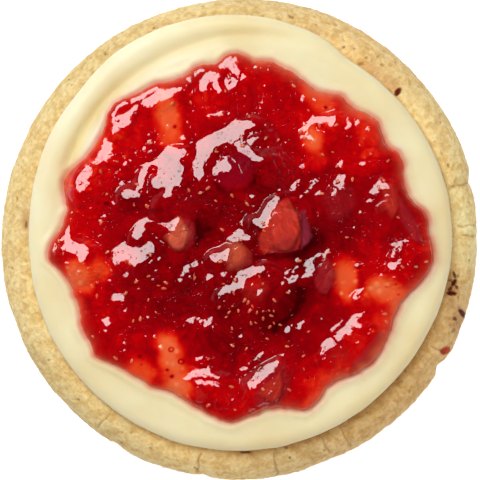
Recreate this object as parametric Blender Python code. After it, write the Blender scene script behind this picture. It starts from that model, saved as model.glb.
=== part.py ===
"""A strawberries and cream cookie: a thick round sugar cookie, a spread disc of cream on it, and a
spoonful of strawberry jam with diced fruit in the middle of the cream.

Metres, +Z up. The origin is under the middle of the cookie, on the surface it rests on. Bearings are
in degrees round +Z from +X. Each piece that rests on another one keeps GAP to it.
"""

import math
import random

import bmesh
import bpy
from mathutils import Matrix, Vector, noise

MM = 0.001
GAP = 0.3 * MM
SEGMENTS = 108
STEP = 2 * math.pi / SEGMENTS

# The cookie: a disc with a soft shoulder, widest low on its side.
COOKIE_RADIUS = 55.8 * MM
COOKIE_HEIGHT = 16.0 * MM
COOKIE_WIDEST_AT = 6.0 * MM
COOKIE_FOOT_INSET = 3.5 * MM
COOKIE_SHOULDER = 7.5 * MM
COOKIE_ROUNDNESS = 2.2
COOKIE_WOBBLE = 0.2 * MM
COOKIE_CRAG = 0.35 * MM
COOKIE_CRAG_SIZE = 4.5 * MM
FOOT_STEPS = 3
SHOULDER_STEPS = 6
# Swells and nicks of the cookie's outline: bearing, amount in mm, half width in degrees.
COOKIE_SWELLS = (
    (62, 0.85, 45),
    (27, 0.3, 9),
    (115, 0.35, 28),
    (205, 0.5, 24),
    (242, 0.4, 12),
    (272, 0.6, 20),
    (355, -0.45, 16),
)
COOKIE_NICKS = (
    (327.5, 0.9, 1.5),
    (239, 0.5, 1.6),
    (261, 0.5, 1.6),
    (14, 0.6, 2.0),
    (290, 0.4, 4.0),
    (200, 0.3, 3.0),
)

# The cream: a spread disc whose last stroke runs out in a swirl over the far left quarter.
CREAM_RADIUS = 49.0 * MM
CREAM_HEIGHT = 3.8 * MM
CREAM_DISH = 1.3 * MM
CREAM_EDGE = 3.4 * MM
CREAM_ROUNDNESS = 2.3
CREAM_UNDERCUT = 0.9 * MM
CREAM_BELLY_AT = 1.1 * MM
DISH_INNER, DISH_OUTER = 33.0 * MM, 46.0 * MM
LIP_HEIGHT, LIP_WIDTH, LIP_OFFSET = 0.4 * MM, 1.0 * MM, 1.4 * MM
SWIRL_REACH = 3.6 * MM
SWIRL_START, SWIRL_PEAK, SWIRL_END = 188, 106, 60
# Swells of the cream's outline: bearing, amount in mm, half width in degrees.
CREAM_SWELLS = (
    (8, 0.45, 25),
    (137, -0.6, 9),
    (68, 0.3, 5),
    (212, 0.15, 20),
    (250, 0.15, 15),
    (312, -0.45, 25),
    (335, -0.2, 12),
)
GROOVE_RADIUS_START, GROOVE_RADIUS_END = 42.9 * MM, 48.6 * MM
GROOVE_WIDTH = 1.6 * MM
# How deep the groove behind the swirl is: bearing, depth in mm, half width in degrees.
GROOVE_DEPTHS = (
    (143, 1.7, 30),
    (95, 0.8, 22),
)

# The jam: a lobed pool, thickest in the middle, over the dish in the cream.
JAM_RADIUS = 39.8 * MM
JAM_THICKNESS, JAM_RIM_THICKNESS = 3.0 * MM, 1.7 * MM
JAM_EDGE = 3.2 * MM
JAM_EDGE_THICKNESS = 0.45 * MM
JAM_ROUNDNESS = 2.0
# Lobes of the jam's outline: bearing, reach in mm (a dent is negative), half width in degrees.
JAM_LOBES = (
    (355, 5.0, 11),
    (8, 2.1, 5),
    (27, 2.1, 5),
    (41, 2.2, 6),
    (55, 0.8, 4),
    (63, -1.1, 4),
    (80, 1.9, 7),
    (92, 3.4, 5),
    (103, 1.8, 4),
    (121, 1.2, 5),
    (133, 3.2, 7),
    (161, 3.1, 7),
    (172, 0.4, 4),
    (184, 4.7, 7),
    (197, 0.6, 4),
    (209, 1.6, 5),
    (219, 3.0, 6),
    (246, -1.2, 6),
    (266, 2.4, 7),
    (280, -0.4, 4),
    (292, 2.3, 6),
    (303, -0.5, 5),
    (319, 1.9, 9),
    (338, -0.3, 5),
)
# Fruit that lies under the jam and lifts it: x, y, long and short radius in mm, turn in degrees,
# height in mm.
JAM_BULGES = (
    (-16.3, 15.9, 6.9, 6.0, 30, 2.3),
    (0.6, 16.3, 7.6, 7.0, 20, 2.9),
    (-26.8, -5.0, 5.8, 4.6, 20, 2.3),
    (3.4, -13.8, 7.2, 5.6, 30, 2.6),
    (14.5, -9.8, 4.8, 4.2, 0, 1.7),
    (38.0, -2.7, 4.6, 4.4, 60, 1.6),
    (31.2, 21.4, 4.8, 3.8, 120, 1.6),
    (18.9, 27.9, 5.2, 4.2, 20, 1.4),
    (-3.6, 35.5, 5.2, 3.8, 20, 1.5),
    (-18.2, 31.6, 5.6, 3.6, 25, 1.4),
    (-28.0, 25.0, 4.4, 3.4, 50, 1.3),
    (-34.0, 16.0, 4.6, 3.8, 60, 1.5),
    (-37.2, -0.6, 4.8, 4.0, 110, 1.5),
    (-28.5, -15.4, 4.0, 3.4, 0, 1.4),
    (-31.0, -22.0, 3.4, 3.0, 0, 1.0),
    (-14.0, -8.6, 4.0, 3.0, 40, 1.3),
    (21.5, 12.0, 4.4, 3.8, 0, 1.5),
    (-18.6, -28.0, 5.0, 3.6, 100, 1.0),
    (14.0, -24.0, 4.6, 4.2, 0, 1.1),
    (-8.0, -22.0, 4.4, 3.8, 0, 1.2),
)
# Diced strawberry that stands out of the jam: x, y, length, width and height in mm, turn and tilt
# in degrees, how far its top stands over the jam in mm.
FRUIT = (
    (10.3, 2.9, 11.2, 9.8, 5.2, 60, 8, 2.2),
    (-14.3, 1.0, 8.8, 7.8, 4.3, 20, -8, 1.6),
    (0.2, -3.6, 7.4, 6.8, 4.0, 100, 6, 1.4),
    (20.2, -7.2, 10.6, 7.4, 4.2, 75, 8, 1.4),
    (26.0, -24.2, 14.2, 9.4, 4.6, 45, -6, 1.5),
    (6.6, -31.8, 9.4, 8.4, 4.3, 20, 8, 1.5),
    (-7.0, -35.2, 11.4, 7.2, 3.9, 5, -6, 1.2),
    (34.6, 6.8, 9.8, 8.6, 4.1, 110, 7, 1.4),
)
FRUIT_SWELL = 1.2
FRUIT_CUTS = 4
FRUIT_DETAIL = 2
POCKET_CLEARANCE = 0.45 * MM

# Strawberry seeds that lie on the jam.
SEEDS = 82
SEED_LENGTH, SEED_WIDTH, SEED_THICKNESS = 1.5 * MM, 0.95 * MM, 0.8 * MM
SEED_SINK = 0.12 * MM
SEED_REACH = 0.93
SEED_SPACING = 2.4 * MM
RANDOM_SEED = 11

# Rings of the meshes, as shares of the way out.
CREAM_RING_SHARES = (0.0, 0.16, 0.34, 0.52, 0.72, 1.0)
DISH_SHARES = (1.0, 0.88, 0.62, 0.3)
JAM_RING_SHARES = (0.965, 0.92, 0.86, 0.79, 0.71, 0.63, 0.55, 0.47, 0.39, 0.3, 0.21, 0.11)


def clear_scene():
    for thing in list(bpy.data.objects):
        bpy.data.objects.remove(thing, do_unlink=True)


def make_material(name, colour, roughness):
    material = bpy.data.materials.new(name)
    material.use_nodes = True
    shader = material.node_tree.nodes["Principled BSDF"]
    shader.inputs["Base Color"].default_value = (*colour, 1.0)
    shader.inputs["Roughness"].default_value = roughness
    shader.inputs["Metallic"].default_value = 0.0
    return material


def smoothstep(low, high, value):
    share = min(max((value - low) / (high - low), 0.0), 1.0)
    return share * share * (3 - 2 * share)


def bell(distance, width):
    return math.exp(-((distance / width) ** 2))


def bearing_bell(angle, bearing, half_width):
    """1 at the bearing, falling to 1/e half_width degrees to either side of it."""
    apart = (math.degrees(angle) - bearing + 180) % 360 - 180
    return bell(apart, half_width)


def sum_of_bells(angle, table):
    return sum(amount * MM * bearing_bell(angle, bearing, width) for bearing, amount, width in table)


def ripple(angle, wavelengths, offset):
    """Smooth noise round the outline, from -1 to 1, with no seam."""
    place = Vector((math.cos(angle), math.sin(angle), 0)) * wavelengths
    return noise.noise(place + Vector((0, 0, offset)))


def cookie_radius(angle):
    wobble = COOKIE_WOBBLE * (ripple(angle, 1.3, 4.0) + 0.6 * ripple(angle, 4.5, 9.0))
    return COOKIE_RADIUS + wobble + sum_of_bells(angle, COOKIE_SWELLS) - sum_of_bells(angle, COOKIE_NICKS)


def swirl(angle):
    """How far the last stroke of cream stands out, from 0 to 1: a slow rise and a quick end."""
    bearing = math.degrees(angle) % 360
    if not SWIRL_END < bearing < SWIRL_START:
        return 0.0
    if bearing > SWIRL_PEAK:
        rise = (SWIRL_START - bearing) / (SWIRL_START - SWIRL_PEAK)
        return math.sin(rise * math.pi / 2) ** 2
    fall = (SWIRL_PEAK - bearing) / (SWIRL_PEAK - SWIRL_END)
    return 1 - fall**2.6


def cream_radius(angle):
    swells = sum_of_bells(angle, CREAM_SWELLS) + 0.2 * MM * ripple(angle, 1.5, 20.0)
    return CREAM_RADIUS + SWIRL_REACH * swirl(angle) + swells


def groove(radius, angle):
    """Depth of the groove between the last stroke and the stroke inside it."""
    along = (SWIRL_START - math.degrees(angle) % 360) / (SWIRL_START - SWIRL_END)
    middle = GROOVE_RADIUS_START + (GROOVE_RADIUS_END - GROOVE_RADIUS_START) * along
    return sum_of_bells(angle, GROOVE_DEPTHS) * bell(radius - middle, GROOVE_WIDTH)


def jam_radius(angle):
    return JAM_RADIUS + sum_of_bells(angle, JAM_LOBES) + 0.3 * MM * ripple(angle, 5.0, 30.0)


def cream_top(radius, angle):
    """Height of the cream's upper surface."""
    inside = min(max((cream_radius(angle) - radius) / CREAM_EDGE, 0.0), 1.0)
    rounding = (1 - (1 - inside) ** CREAM_ROUNDNESS) ** (1 / CREAM_ROUNDNESS)
    dish = CREAM_DISH * (1 - smoothstep(DISH_INNER, DISH_OUTER, radius))
    lip = LIP_HEIGHT * bell(radius - jam_radius(angle) - LIP_OFFSET, LIP_WIDTH)
    height = CREAM_BELLY_AT + (CREAM_HEIGHT - CREAM_BELLY_AT) * rounding
    return COOKIE_HEIGHT + GAP + height - dish + lip - groove(radius, angle) * rounding


def bulge(x, y, entry):
    middle_x, middle_y, long_radius, short_radius, turn, height = entry
    cosine, sine = math.cos(math.radians(turn)), math.sin(math.radians(turn))
    across, along = x - middle_x * MM, y - middle_y * MM
    u = (across * cosine + along * sine) / (long_radius * MM)
    v = (along * cosine - across * sine) / (short_radius * MM)
    square = u * u + v * v
    return height * MM * max(1 - square / 1.7, 0.0) ** 1.5


def fruit_swells():
    """The jam also climbs a little way up each dice of fruit that stands out of it."""
    return [
        (x, y, 0.62 * length, 0.62 * width, turn, FRUIT_SWELL)
        for x, y, length, width, _, turn, _, _ in FRUIT
    ]


def jam_top(radius, angle):
    """Height of the jam's upper surface. It is never under the cream's."""
    reach = jam_radius(angle)
    x, y = radius * math.cos(angle), radius * math.sin(angle)
    inside = min(max((reach - radius) / JAM_EDGE, 0.0), 1.0)
    rounding = (1 - (1 - inside) ** JAM_ROUNDNESS) ** (1 / JAM_ROUNDNESS)
    middle = 1 - (radius / reach) ** 2
    body = JAM_RIM_THICKNESS + (JAM_THICKNESS - JAM_RIM_THICKNESS) * middle
    lifted = max(bulge(x, y, entry) for entry in (*JAM_BULGES, *fruit_swells()))
    thickness = JAM_EDGE_THICKNESS + (body + lifted - JAM_EDGE_THICKNESS) * rounding
    return cream_top(radius, angle) + GAP + thickness


def ring(radius_at, height_at):
    """One loop of points, its radius a function of the angle, its height of the radius and angle."""
    points = []
    for segment in range(SEGMENTS):
        angle = segment * STEP
        radius = radius_at(angle)
        points.append(Vector((radius * math.cos(angle), radius * math.sin(angle), height_at(radius, angle))))
    return points


def make_object(name, mesh_maker, material):
    mesh = bpy.data.meshes.new(name)
    mesh_maker.to_mesh(mesh)
    mesh_maker.free()
    mesh.materials.append(material)
    mesh.shade_smooth()
    thing = bpy.data.objects.new(name, mesh)
    bpy.context.scene.collection.objects.link(thing)
    return thing


def solid_of_rings(name, low_middle, rings, high_middle, material):
    """A closed solid: from its lower middle out through the rings, and back in to its upper middle."""
    mesh_maker = bmesh.new()
    loops = [[mesh_maker.verts.new(point) for point in points] for points in rings]
    low = mesh_maker.verts.new((0, 0, low_middle))
    high = mesh_maker.verts.new((0, 0, high_middle))
    for segment in range(SEGMENTS):
        following = (segment + 1) % SEGMENTS
        mesh_maker.faces.new((low, loops[0][following], loops[0][segment]))
        for outer, inner in zip(loops, loops[1:]):
            mesh_maker.faces.new((outer[segment], outer[following], inner[following], inner[segment]))
        mesh_maker.faces.new((high, loops[-1][segment], loops[-1][following]))
    return make_object(name, mesh_maker, material)


def roughened(points, size, depth, fade_height):
    """The points moved in and out by crags, not at all at fade_height or on the flat underside."""
    moved = []
    for point in points:
        crag = noise.fractal(point / size, 0.9, 2.1, 3)
        outward = Vector((point.x, point.y, 0)).normalized()
        low = smoothstep(0, 1.5 * MM, point.z)
        high = 1 - smoothstep(fade_height - 0.4 * MM, fade_height, point.z)
        moved.append(point + (outward + Vector((0, 0, -0.4))) * crag * depth * low * high)
    return moved


def make_cookie(material):
    quarter = math.pi / 2
    rings = []
    for step in range(FOOT_STEPS):
        turn = quarter * step / FOOT_STEPS
        inset = COOKIE_FOOT_INSET * (1 - math.sin(turn))
        height = COOKIE_WIDEST_AT * (1 - math.cos(turn))
        rings.append(ring(lambda a, i=inset: cookie_radius(a) - i, lambda r, a, h=height: h))
    for step in range(SHOULDER_STEPS + 1):
        turn = quarter * step / SHOULDER_STEPS
        power = 2 / COOKIE_ROUNDNESS
        inset = COOKIE_SHOULDER * (1 - max(math.cos(turn), 0.0) ** power)
        height = COOKIE_WIDEST_AT + (COOKIE_HEIGHT - COOKIE_WIDEST_AT) * math.sin(turn) ** power
        rings.append(ring(lambda a, i=inset: cookie_radius(a) - i, lambda r, a, h=height: h))
    rings.append(ring(lambda a: 0.5 * COOKIE_RADIUS, lambda r, a: COOKIE_HEIGHT))
    rings = [roughened(points, COOKIE_CRAG_SIZE, COOKIE_CRAG, COOKIE_HEIGHT) for points in rings]
    return solid_of_rings("cookie", 0.0, rings, COOKIE_HEIGHT, material)


def make_cream(material):
    underside = COOKIE_HEIGHT + GAP
    rings = [
        ring(lambda a: cream_radius(a) - CREAM_UNDERCUT, lambda r, a: underside),
        ring(lambda a: cream_radius(a) - 0.25 * CREAM_UNDERCUT, lambda r, a: underside + 0.4 * CREAM_BELLY_AT),
        ring(cream_radius, cream_top),
    ]
    for share in (0.06, 0.22, 0.5):
        rings.append(ring(lambda a, s=share: cream_radius(a) - s * CREAM_EDGE, cream_top))
    for share in CREAM_RING_SHARES[::-1]:
        def between(angle, share=share):
            outer, inner = cream_radius(angle) - 0.85 * CREAM_EDGE, jam_radius(angle)
            return inner + (max(outer, inner + 0.8 * MM) - inner) * share

        rings.append(ring(between, cream_top))
    for share in DISH_SHARES[1:]:
        rings.append(ring(lambda a, s=share: s * jam_radius(a), cream_top))
    return solid_of_rings("cream", underside, rings, cream_top(0, 0), material)


def make_jam(material):
    """The jam follows the cream's own rings underneath, GAP over them, and has finer rings on top."""
    rings = [
        ring(lambda a, s=share: s * jam_radius(a), lambda r, a: cream_top(r, a) + GAP)
        for share in DISH_SHARES[::-1]
    ]
    for share in (1.0, 0.985, *JAM_RING_SHARES):
        rings.append(ring(lambda a, s=share: s * jam_radius(a), jam_top))
    return solid_of_rings("jam", cream_top(0, 0) + GAP, rings, jam_top(0, 0), material)


def diced_fruit(name, entry, draw, material, clearance=0.0):
    """A lump of strawberry with flat knife cuts. The same draw gives the same lump; clearance grows it."""
    x, y, length, width, height, turn, tilt, proud = entry
    lump = bmesh.new()
    bmesh.ops.create_icosphere(lump, subdivisions=FRUIT_DETAIL, radius=0.5)
    size = Vector((length, width, height)) * MM
    bmesh.ops.transform(lump, matrix=Matrix.Diagonal((*size, 1)), verts=lump.verts)
    for cut in range(FRUIT_CUTS):
        bearing = math.radians(90 * cut + draw.uniform(-25, 25))
        lean = math.radians(draw.uniform(10, 50))
        outward = Vector((math.cos(bearing) * math.cos(lean), math.sin(bearing) * math.cos(lean), math.sin(lean)))
        furthest = max(outward.dot(vertex.co) for vertex in lump.verts)
        bmesh.ops.bisect_plane(
            lump,
            geom=lump.verts[:] + lump.edges[:] + lump.faces[:],
            plane_co=outward * furthest * draw.uniform(0.78, 0.9),
            plane_no=outward,
            clear_outer=True,
        )
    bmesh.ops.remove_doubles(lump, verts=lump.verts, dist=0.1 * MM)
    growth = Vector(1 + 2 * clearance / side for side in size)
    mesh_maker = bmesh.new()
    for vertex in lump.verts:
        mesh_maker.verts.new(vertex.co * growth)
    lump.free()
    bmesh.ops.convex_hull(mesh_maker, input=mesh_maker.verts)
    fruit = make_object(name, mesh_maker, material)
    radius, angle = math.hypot(x, y) * MM, math.atan2(y, x)
    top = jam_top(radius, angle) + proud * MM
    fruit.location = (x * MM, y * MM, top - height * MM / 2)
    fruit.rotation_euler = (math.radians(tilt), math.radians(tilt) / 2, math.radians(turn))
    return fruit


def join_by_boolean(target, operation, others):
    """Cuts the others from the target, or joins them to it, as one applied Boolean on a collection."""
    group = bpy.data.collections.new(operation)
    bpy.context.scene.collection.children.link(group)
    for other in others:
        bpy.context.scene.collection.objects.unlink(other)
        group.objects.link(other)
    boolean = target.modifiers.new(operation, "BOOLEAN")
    boolean.operation = operation
    boolean.solver = "EXACT"
    boolean.operand_type = "COLLECTION"
    boolean.collection = group
    with bpy.context.temp_override(object=target, active_object=target):
        bpy.ops.object.modifier_apply(modifier=boolean.name)
    for other in others:
        bpy.data.objects.remove(other, do_unlink=True)
    bpy.data.collections.remove(group)


def near_fruit(x, y, margin):
    return any(
        math.hypot(x - entry[0] * MM, y - entry[1] * MM) < entry[2] * MM / 2 + margin for entry in FRUIT
    )


def seed_places(draw):
    """Places spread over the jam, none close to another one or to fruit that stands out."""
    places = []
    while len(places) < SEEDS:
        angle = draw.uniform(0, 2 * math.pi)
        radius = math.sqrt(draw.random()) * SEED_REACH * jam_radius(angle)
        x, y = radius * math.cos(angle), radius * math.sin(angle)
        crowded = any(math.hypot(x - other[0], y - other[1]) < SEED_SPACING for other in places)
        if not crowded and not near_fruit(x, y, SEED_LENGTH):
            places.append((x, y))
    return places


def make_seeds(draw, material):
    seeds = []
    for x, y in seed_places(draw):
        mesh_maker = bmesh.new()
        bmesh.ops.create_icosphere(mesh_maker, subdivisions=1, radius=0.5)
        size = Matrix.Diagonal((SEED_LENGTH, SEED_WIDTH, SEED_THICKNESS, 1))
        bmesh.ops.transform(mesh_maker, matrix=size, verts=mesh_maker.verts)
        seed = make_object("seed", mesh_maker, material)
        height = jam_top(math.hypot(x, y), math.atan2(y, x)) - SEED_SINK
        seed.location = (x, y, height)
        seed.rotation_euler = (draw.uniform(-0.3, 0.3), draw.uniform(-0.3, 0.3), draw.uniform(0, math.pi))
        seeds.append(seed)
    return seeds


def main():
    clear_scene()
    cookie_material = make_material("baked_dough", (0.76, 0.54, 0.25), 0.85)
    cream_material = make_material("cream", (0.91, 0.82, 0.58), 0.45)
    jam_material = make_material("strawberry_jam", (0.42, 0.004, 0.006), 0.08)
    fruit_material = make_material("strawberry_flesh", (0.62, 0.07, 0.035), 0.12)

    make_cookie(cookie_material)
    make_cream(cream_material)
    jam = make_jam(jam_material)
    pockets = [
        diced_fruit("pocket", entry, random.Random(RANDOM_SEED + number), fruit_material, POCKET_CLEARANCE)
        for number, entry in enumerate(FRUIT)
    ]
    join_by_boolean(jam, "UNION", make_seeds(random.Random(RANDOM_SEED), jam_material))
    join_by_boolean(jam, "DIFFERENCE", pockets)
    for number, entry in enumerate(FRUIT):
        name = f"strawberry_{number + 1}"
        diced_fruit(name, entry, random.Random(RANDOM_SEED + number), fruit_material)


main()
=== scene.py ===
"""Looks of the strawberries and cream cookie: baked dough, whipped cream, wet jam, fruit and seeds."""

import math
import random

import bmesh
import bpy
import numpy as np
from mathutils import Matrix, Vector, noise


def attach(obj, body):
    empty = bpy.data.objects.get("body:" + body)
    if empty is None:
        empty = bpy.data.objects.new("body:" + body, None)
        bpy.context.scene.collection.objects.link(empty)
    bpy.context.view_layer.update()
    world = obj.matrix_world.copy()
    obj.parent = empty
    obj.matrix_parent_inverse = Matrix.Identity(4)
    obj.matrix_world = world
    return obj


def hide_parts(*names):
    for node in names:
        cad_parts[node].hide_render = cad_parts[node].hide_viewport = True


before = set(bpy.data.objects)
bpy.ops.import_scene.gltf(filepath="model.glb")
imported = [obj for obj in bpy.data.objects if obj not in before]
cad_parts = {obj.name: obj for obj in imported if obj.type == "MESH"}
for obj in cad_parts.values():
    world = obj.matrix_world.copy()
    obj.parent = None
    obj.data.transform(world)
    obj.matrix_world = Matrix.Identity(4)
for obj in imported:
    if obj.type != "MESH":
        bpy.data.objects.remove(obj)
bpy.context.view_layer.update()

# Lengths here are in millimetres, and become metres when a mesh is made.
MM = 0.001

# The cookie, the cream and the jam have the sizes of the solids they replace. Swells, nicks and lobes
# of an outline are rows of bearing, amount and half width in degrees.
COOKIE_RADIUS, COOKIE_HEIGHT, COOKIE_WIDEST_AT = 55.8, 16.0, 6.0
COOKIE_FOOT_INSET, COOKIE_SHOULDER, COOKIE_ROUNDNESS = 3.5, 7.5, 2.2
COOKIE_WOBBLE = 0.2
COOKIE_SEGMENTS, CREAM_SEGMENTS, JAM_GRID = 1200, 900, 305
COOKIE_SWELLS = (
    (62, 0.85, 45), (27, 0.3, 9), (115, 0.35, 28), (205, 0.5, 24), (242, 0.4, 12), (272, 0.6, 20),
    (355, -0.45, 16),
)
COOKIE_NICKS = (
    (327.5, 0.9, 1.5), (239, 0.5, 1.6), (261, 0.5, 1.6), (14, 0.6, 2), (290, 0.4, 4), (200, 0.3, 3),
)

# Colour round the edge by bearing, partly baking and partly painted shade, darker and redder on the lower
# right away from the softbox: bearing, how much paler, how much redder, width in degrees.
BAKED_AND_SHADED = (
    (2, 0.25, -0.07, 13), (30, 0.1, 0, 12), (80, -0.08, 0, 18), (128, -0.1, 0, 22),
    (197, 0.1, 0, 8), (258, 0.14, 0.02, 16), (318, -0.12, 0.1, 40), (60, 0.02, 0.05, 18),
    (225, 0.06, 0, 10),
)
# Fine cracks: bearing, inner and outer radius.
CRACKS = (
    (14, 50.5, 56.5), (3.6, 50.8, 56.5), (1.2, 51.5, 56.5), (259.5, 50.5, 55), (279, 50, 55),
    (292.5, 49.5, 53.5), (298, 49, 54), (331, 51, 54), (233, 50.5, 54.5),
)
# Burnt crumbs and drips of jam on the dough: x, y, length, width, turn, strength.
SPOTS = (
    (36.7, 34.5, 1.3, 0.7, 55, 1),
    (24.1, 44.8, 0.4, 0.3, 0, 0.7),
    (26.6, 44.5, 0.35, 0.3, 0, 0.5),
    (32.1, 42.8, 0.6, 0.25, 40, 0.5),
    (29.4, 42.4, 0.4, 0.35, 0, 0.5),
    (49.9, -8.2, 1, 0.4, -70, 0.9),
    (49.8, -9.9, 1.1, 0.6, 60, 1),
    (48.9, -11.3, 0.7, 0.45, 30, 0.9),
    (49.3, -12.4, 1.3, 0.55, -5, 1),
    (50.5, -11, 0.6, 0.4, -60, 0.85),
    (48.9, -9.4, 0.45, 0.35, 0, 0.7),
    (51.9, -17.1, 1.6, 0.65, -50, 1),
    (50.1, -18.4, 0.6, 0.45, -30, 0.8),
    (49.9, -21.2, 0.7, 0.45, 30, 0.45),
    (1.3, -49.3, 1.5, 0.35, 0, 0.8),
    (10.6, -48.2, 0.55, 0.3, 0, 0.6),
    (11.6, -50.6, 0.28, 0.28, 0, 0.9),
    (-10.6, -53, 0.22, 0.22, 0, 0.8),
    (-49.7, 3.6, 0.4, 0.9, 0, 0.7),
    (-40, 37.4, 0.26, 0.2, 0, 0.9),
    (-44.6, -28, 0.26, 0.26, 0, 0.6),
)
# Soft brownish smears, and the drip of jam, in the same order.
SMEARS = (
    (34.4, 37, 3.4, 1.8, -45, 0.8),
    (30.4, 40.2, 2.4, 1.2, -40, 0.6),
    (-50, 5.4, 1.1, 3.6, 0, 0.8),
    (1.3, -49.6, 3.4, 1.1, 0, 0.6),
    (49, -10.6, 2.2, 3.4, 0, 0.9),
    (50.8, -18.6, 2.4, 3, 0, 0.8),
)
JAM_DRIP = (47.9, -25.7, 1.45, 1.05, 25)

CREAM_RADIUS, CREAM_HEIGHT, CREAM_DISH = 49.0, 3.8, 1.3
CREAM_EDGE, CREAM_ROUNDNESS = 3.4, 2.3
CREAM_UNDERCUT, CREAM_BELLY_AT = 0.9, 1.1
CREAM_SWELLS = (
    (8, 0.45, 25), (137, -0.6, 9), (68, 0.3, 5), (212, 0.15, 20), (250, 0.15, 15), (312, -0.45, 25),
    (335, -0.2, 12),
)
DISH_INNER, DISH_OUTER = 33.0, 46.0
LIP_HEIGHT, LIP_WIDTH, LIP_OFFSET = 0.4, 1.0, 1.4
SWIRL_REACH, SWIRL_START, SWIRL_PEAK, SWIRL_END = 3.6, 188, 106, 60
GROOVE_RADIUS_START, GROOVE_RADIUS_END, GROOVE_WIDTH = 41.4, 49.3, 1.6
GROOVE_DEPTHS = ((143, 1.7, 30), (95, 0.8, 22))

JAM_RADIUS, JAM_THICKNESS, JAM_RIM_THICKNESS = 39.8, 3.0, 1.7
JAM_EDGE, JAM_EDGE_THICKNESS = 3.2, 0.45
JAM_LOBES = (
    (355, 5, 11), (8, 2.1, 5), (27, 2.1, 5), (41, 2.2, 6), (55, 0.8, 4), (63, -1.1, 4),
    (80, 1.9, 7), (92, 3.4, 5), (103, 1.8, 4), (121, 1.2, 5), (133, 3.2, 7), (161, 3.1, 7),
    (172, 0.4, 4), (184, 4.7, 7), (197, 0.6, 4), (209, 1.6, 5), (219, 3, 6), (246, -1.2, 6),
    (266, 2.4, 7), (280, -0.4, 4), (292, 2.3, 6), (303, -0.5, 5), (319, 1.9, 9), (338, -0.3, 5),
)
GAP = 0.3
# Heights of the cream's underside, sunk a little into the dough, and of its widest place.
CREAM_UNDERSIDE, CREAM_BELLY = COOKIE_HEIGHT - 0.1, COOKIE_HEIGHT + GAP + CREAM_BELLY_AT

# The softbox: bearing and height over the horizon in degrees.
LIGHT_BEARING, LIGHT_ELEVATION = 125, 54
TOWARDS_LIGHT = np.array((math.cos(math.radians(LIGHT_BEARING)), math.sin(math.radians(LIGHT_BEARING))))
# The slope of a shining place, and how far round a chain the jam is worked out for it.
LIT_SLOPE, FACET_REACH = 0.325, 9

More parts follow.
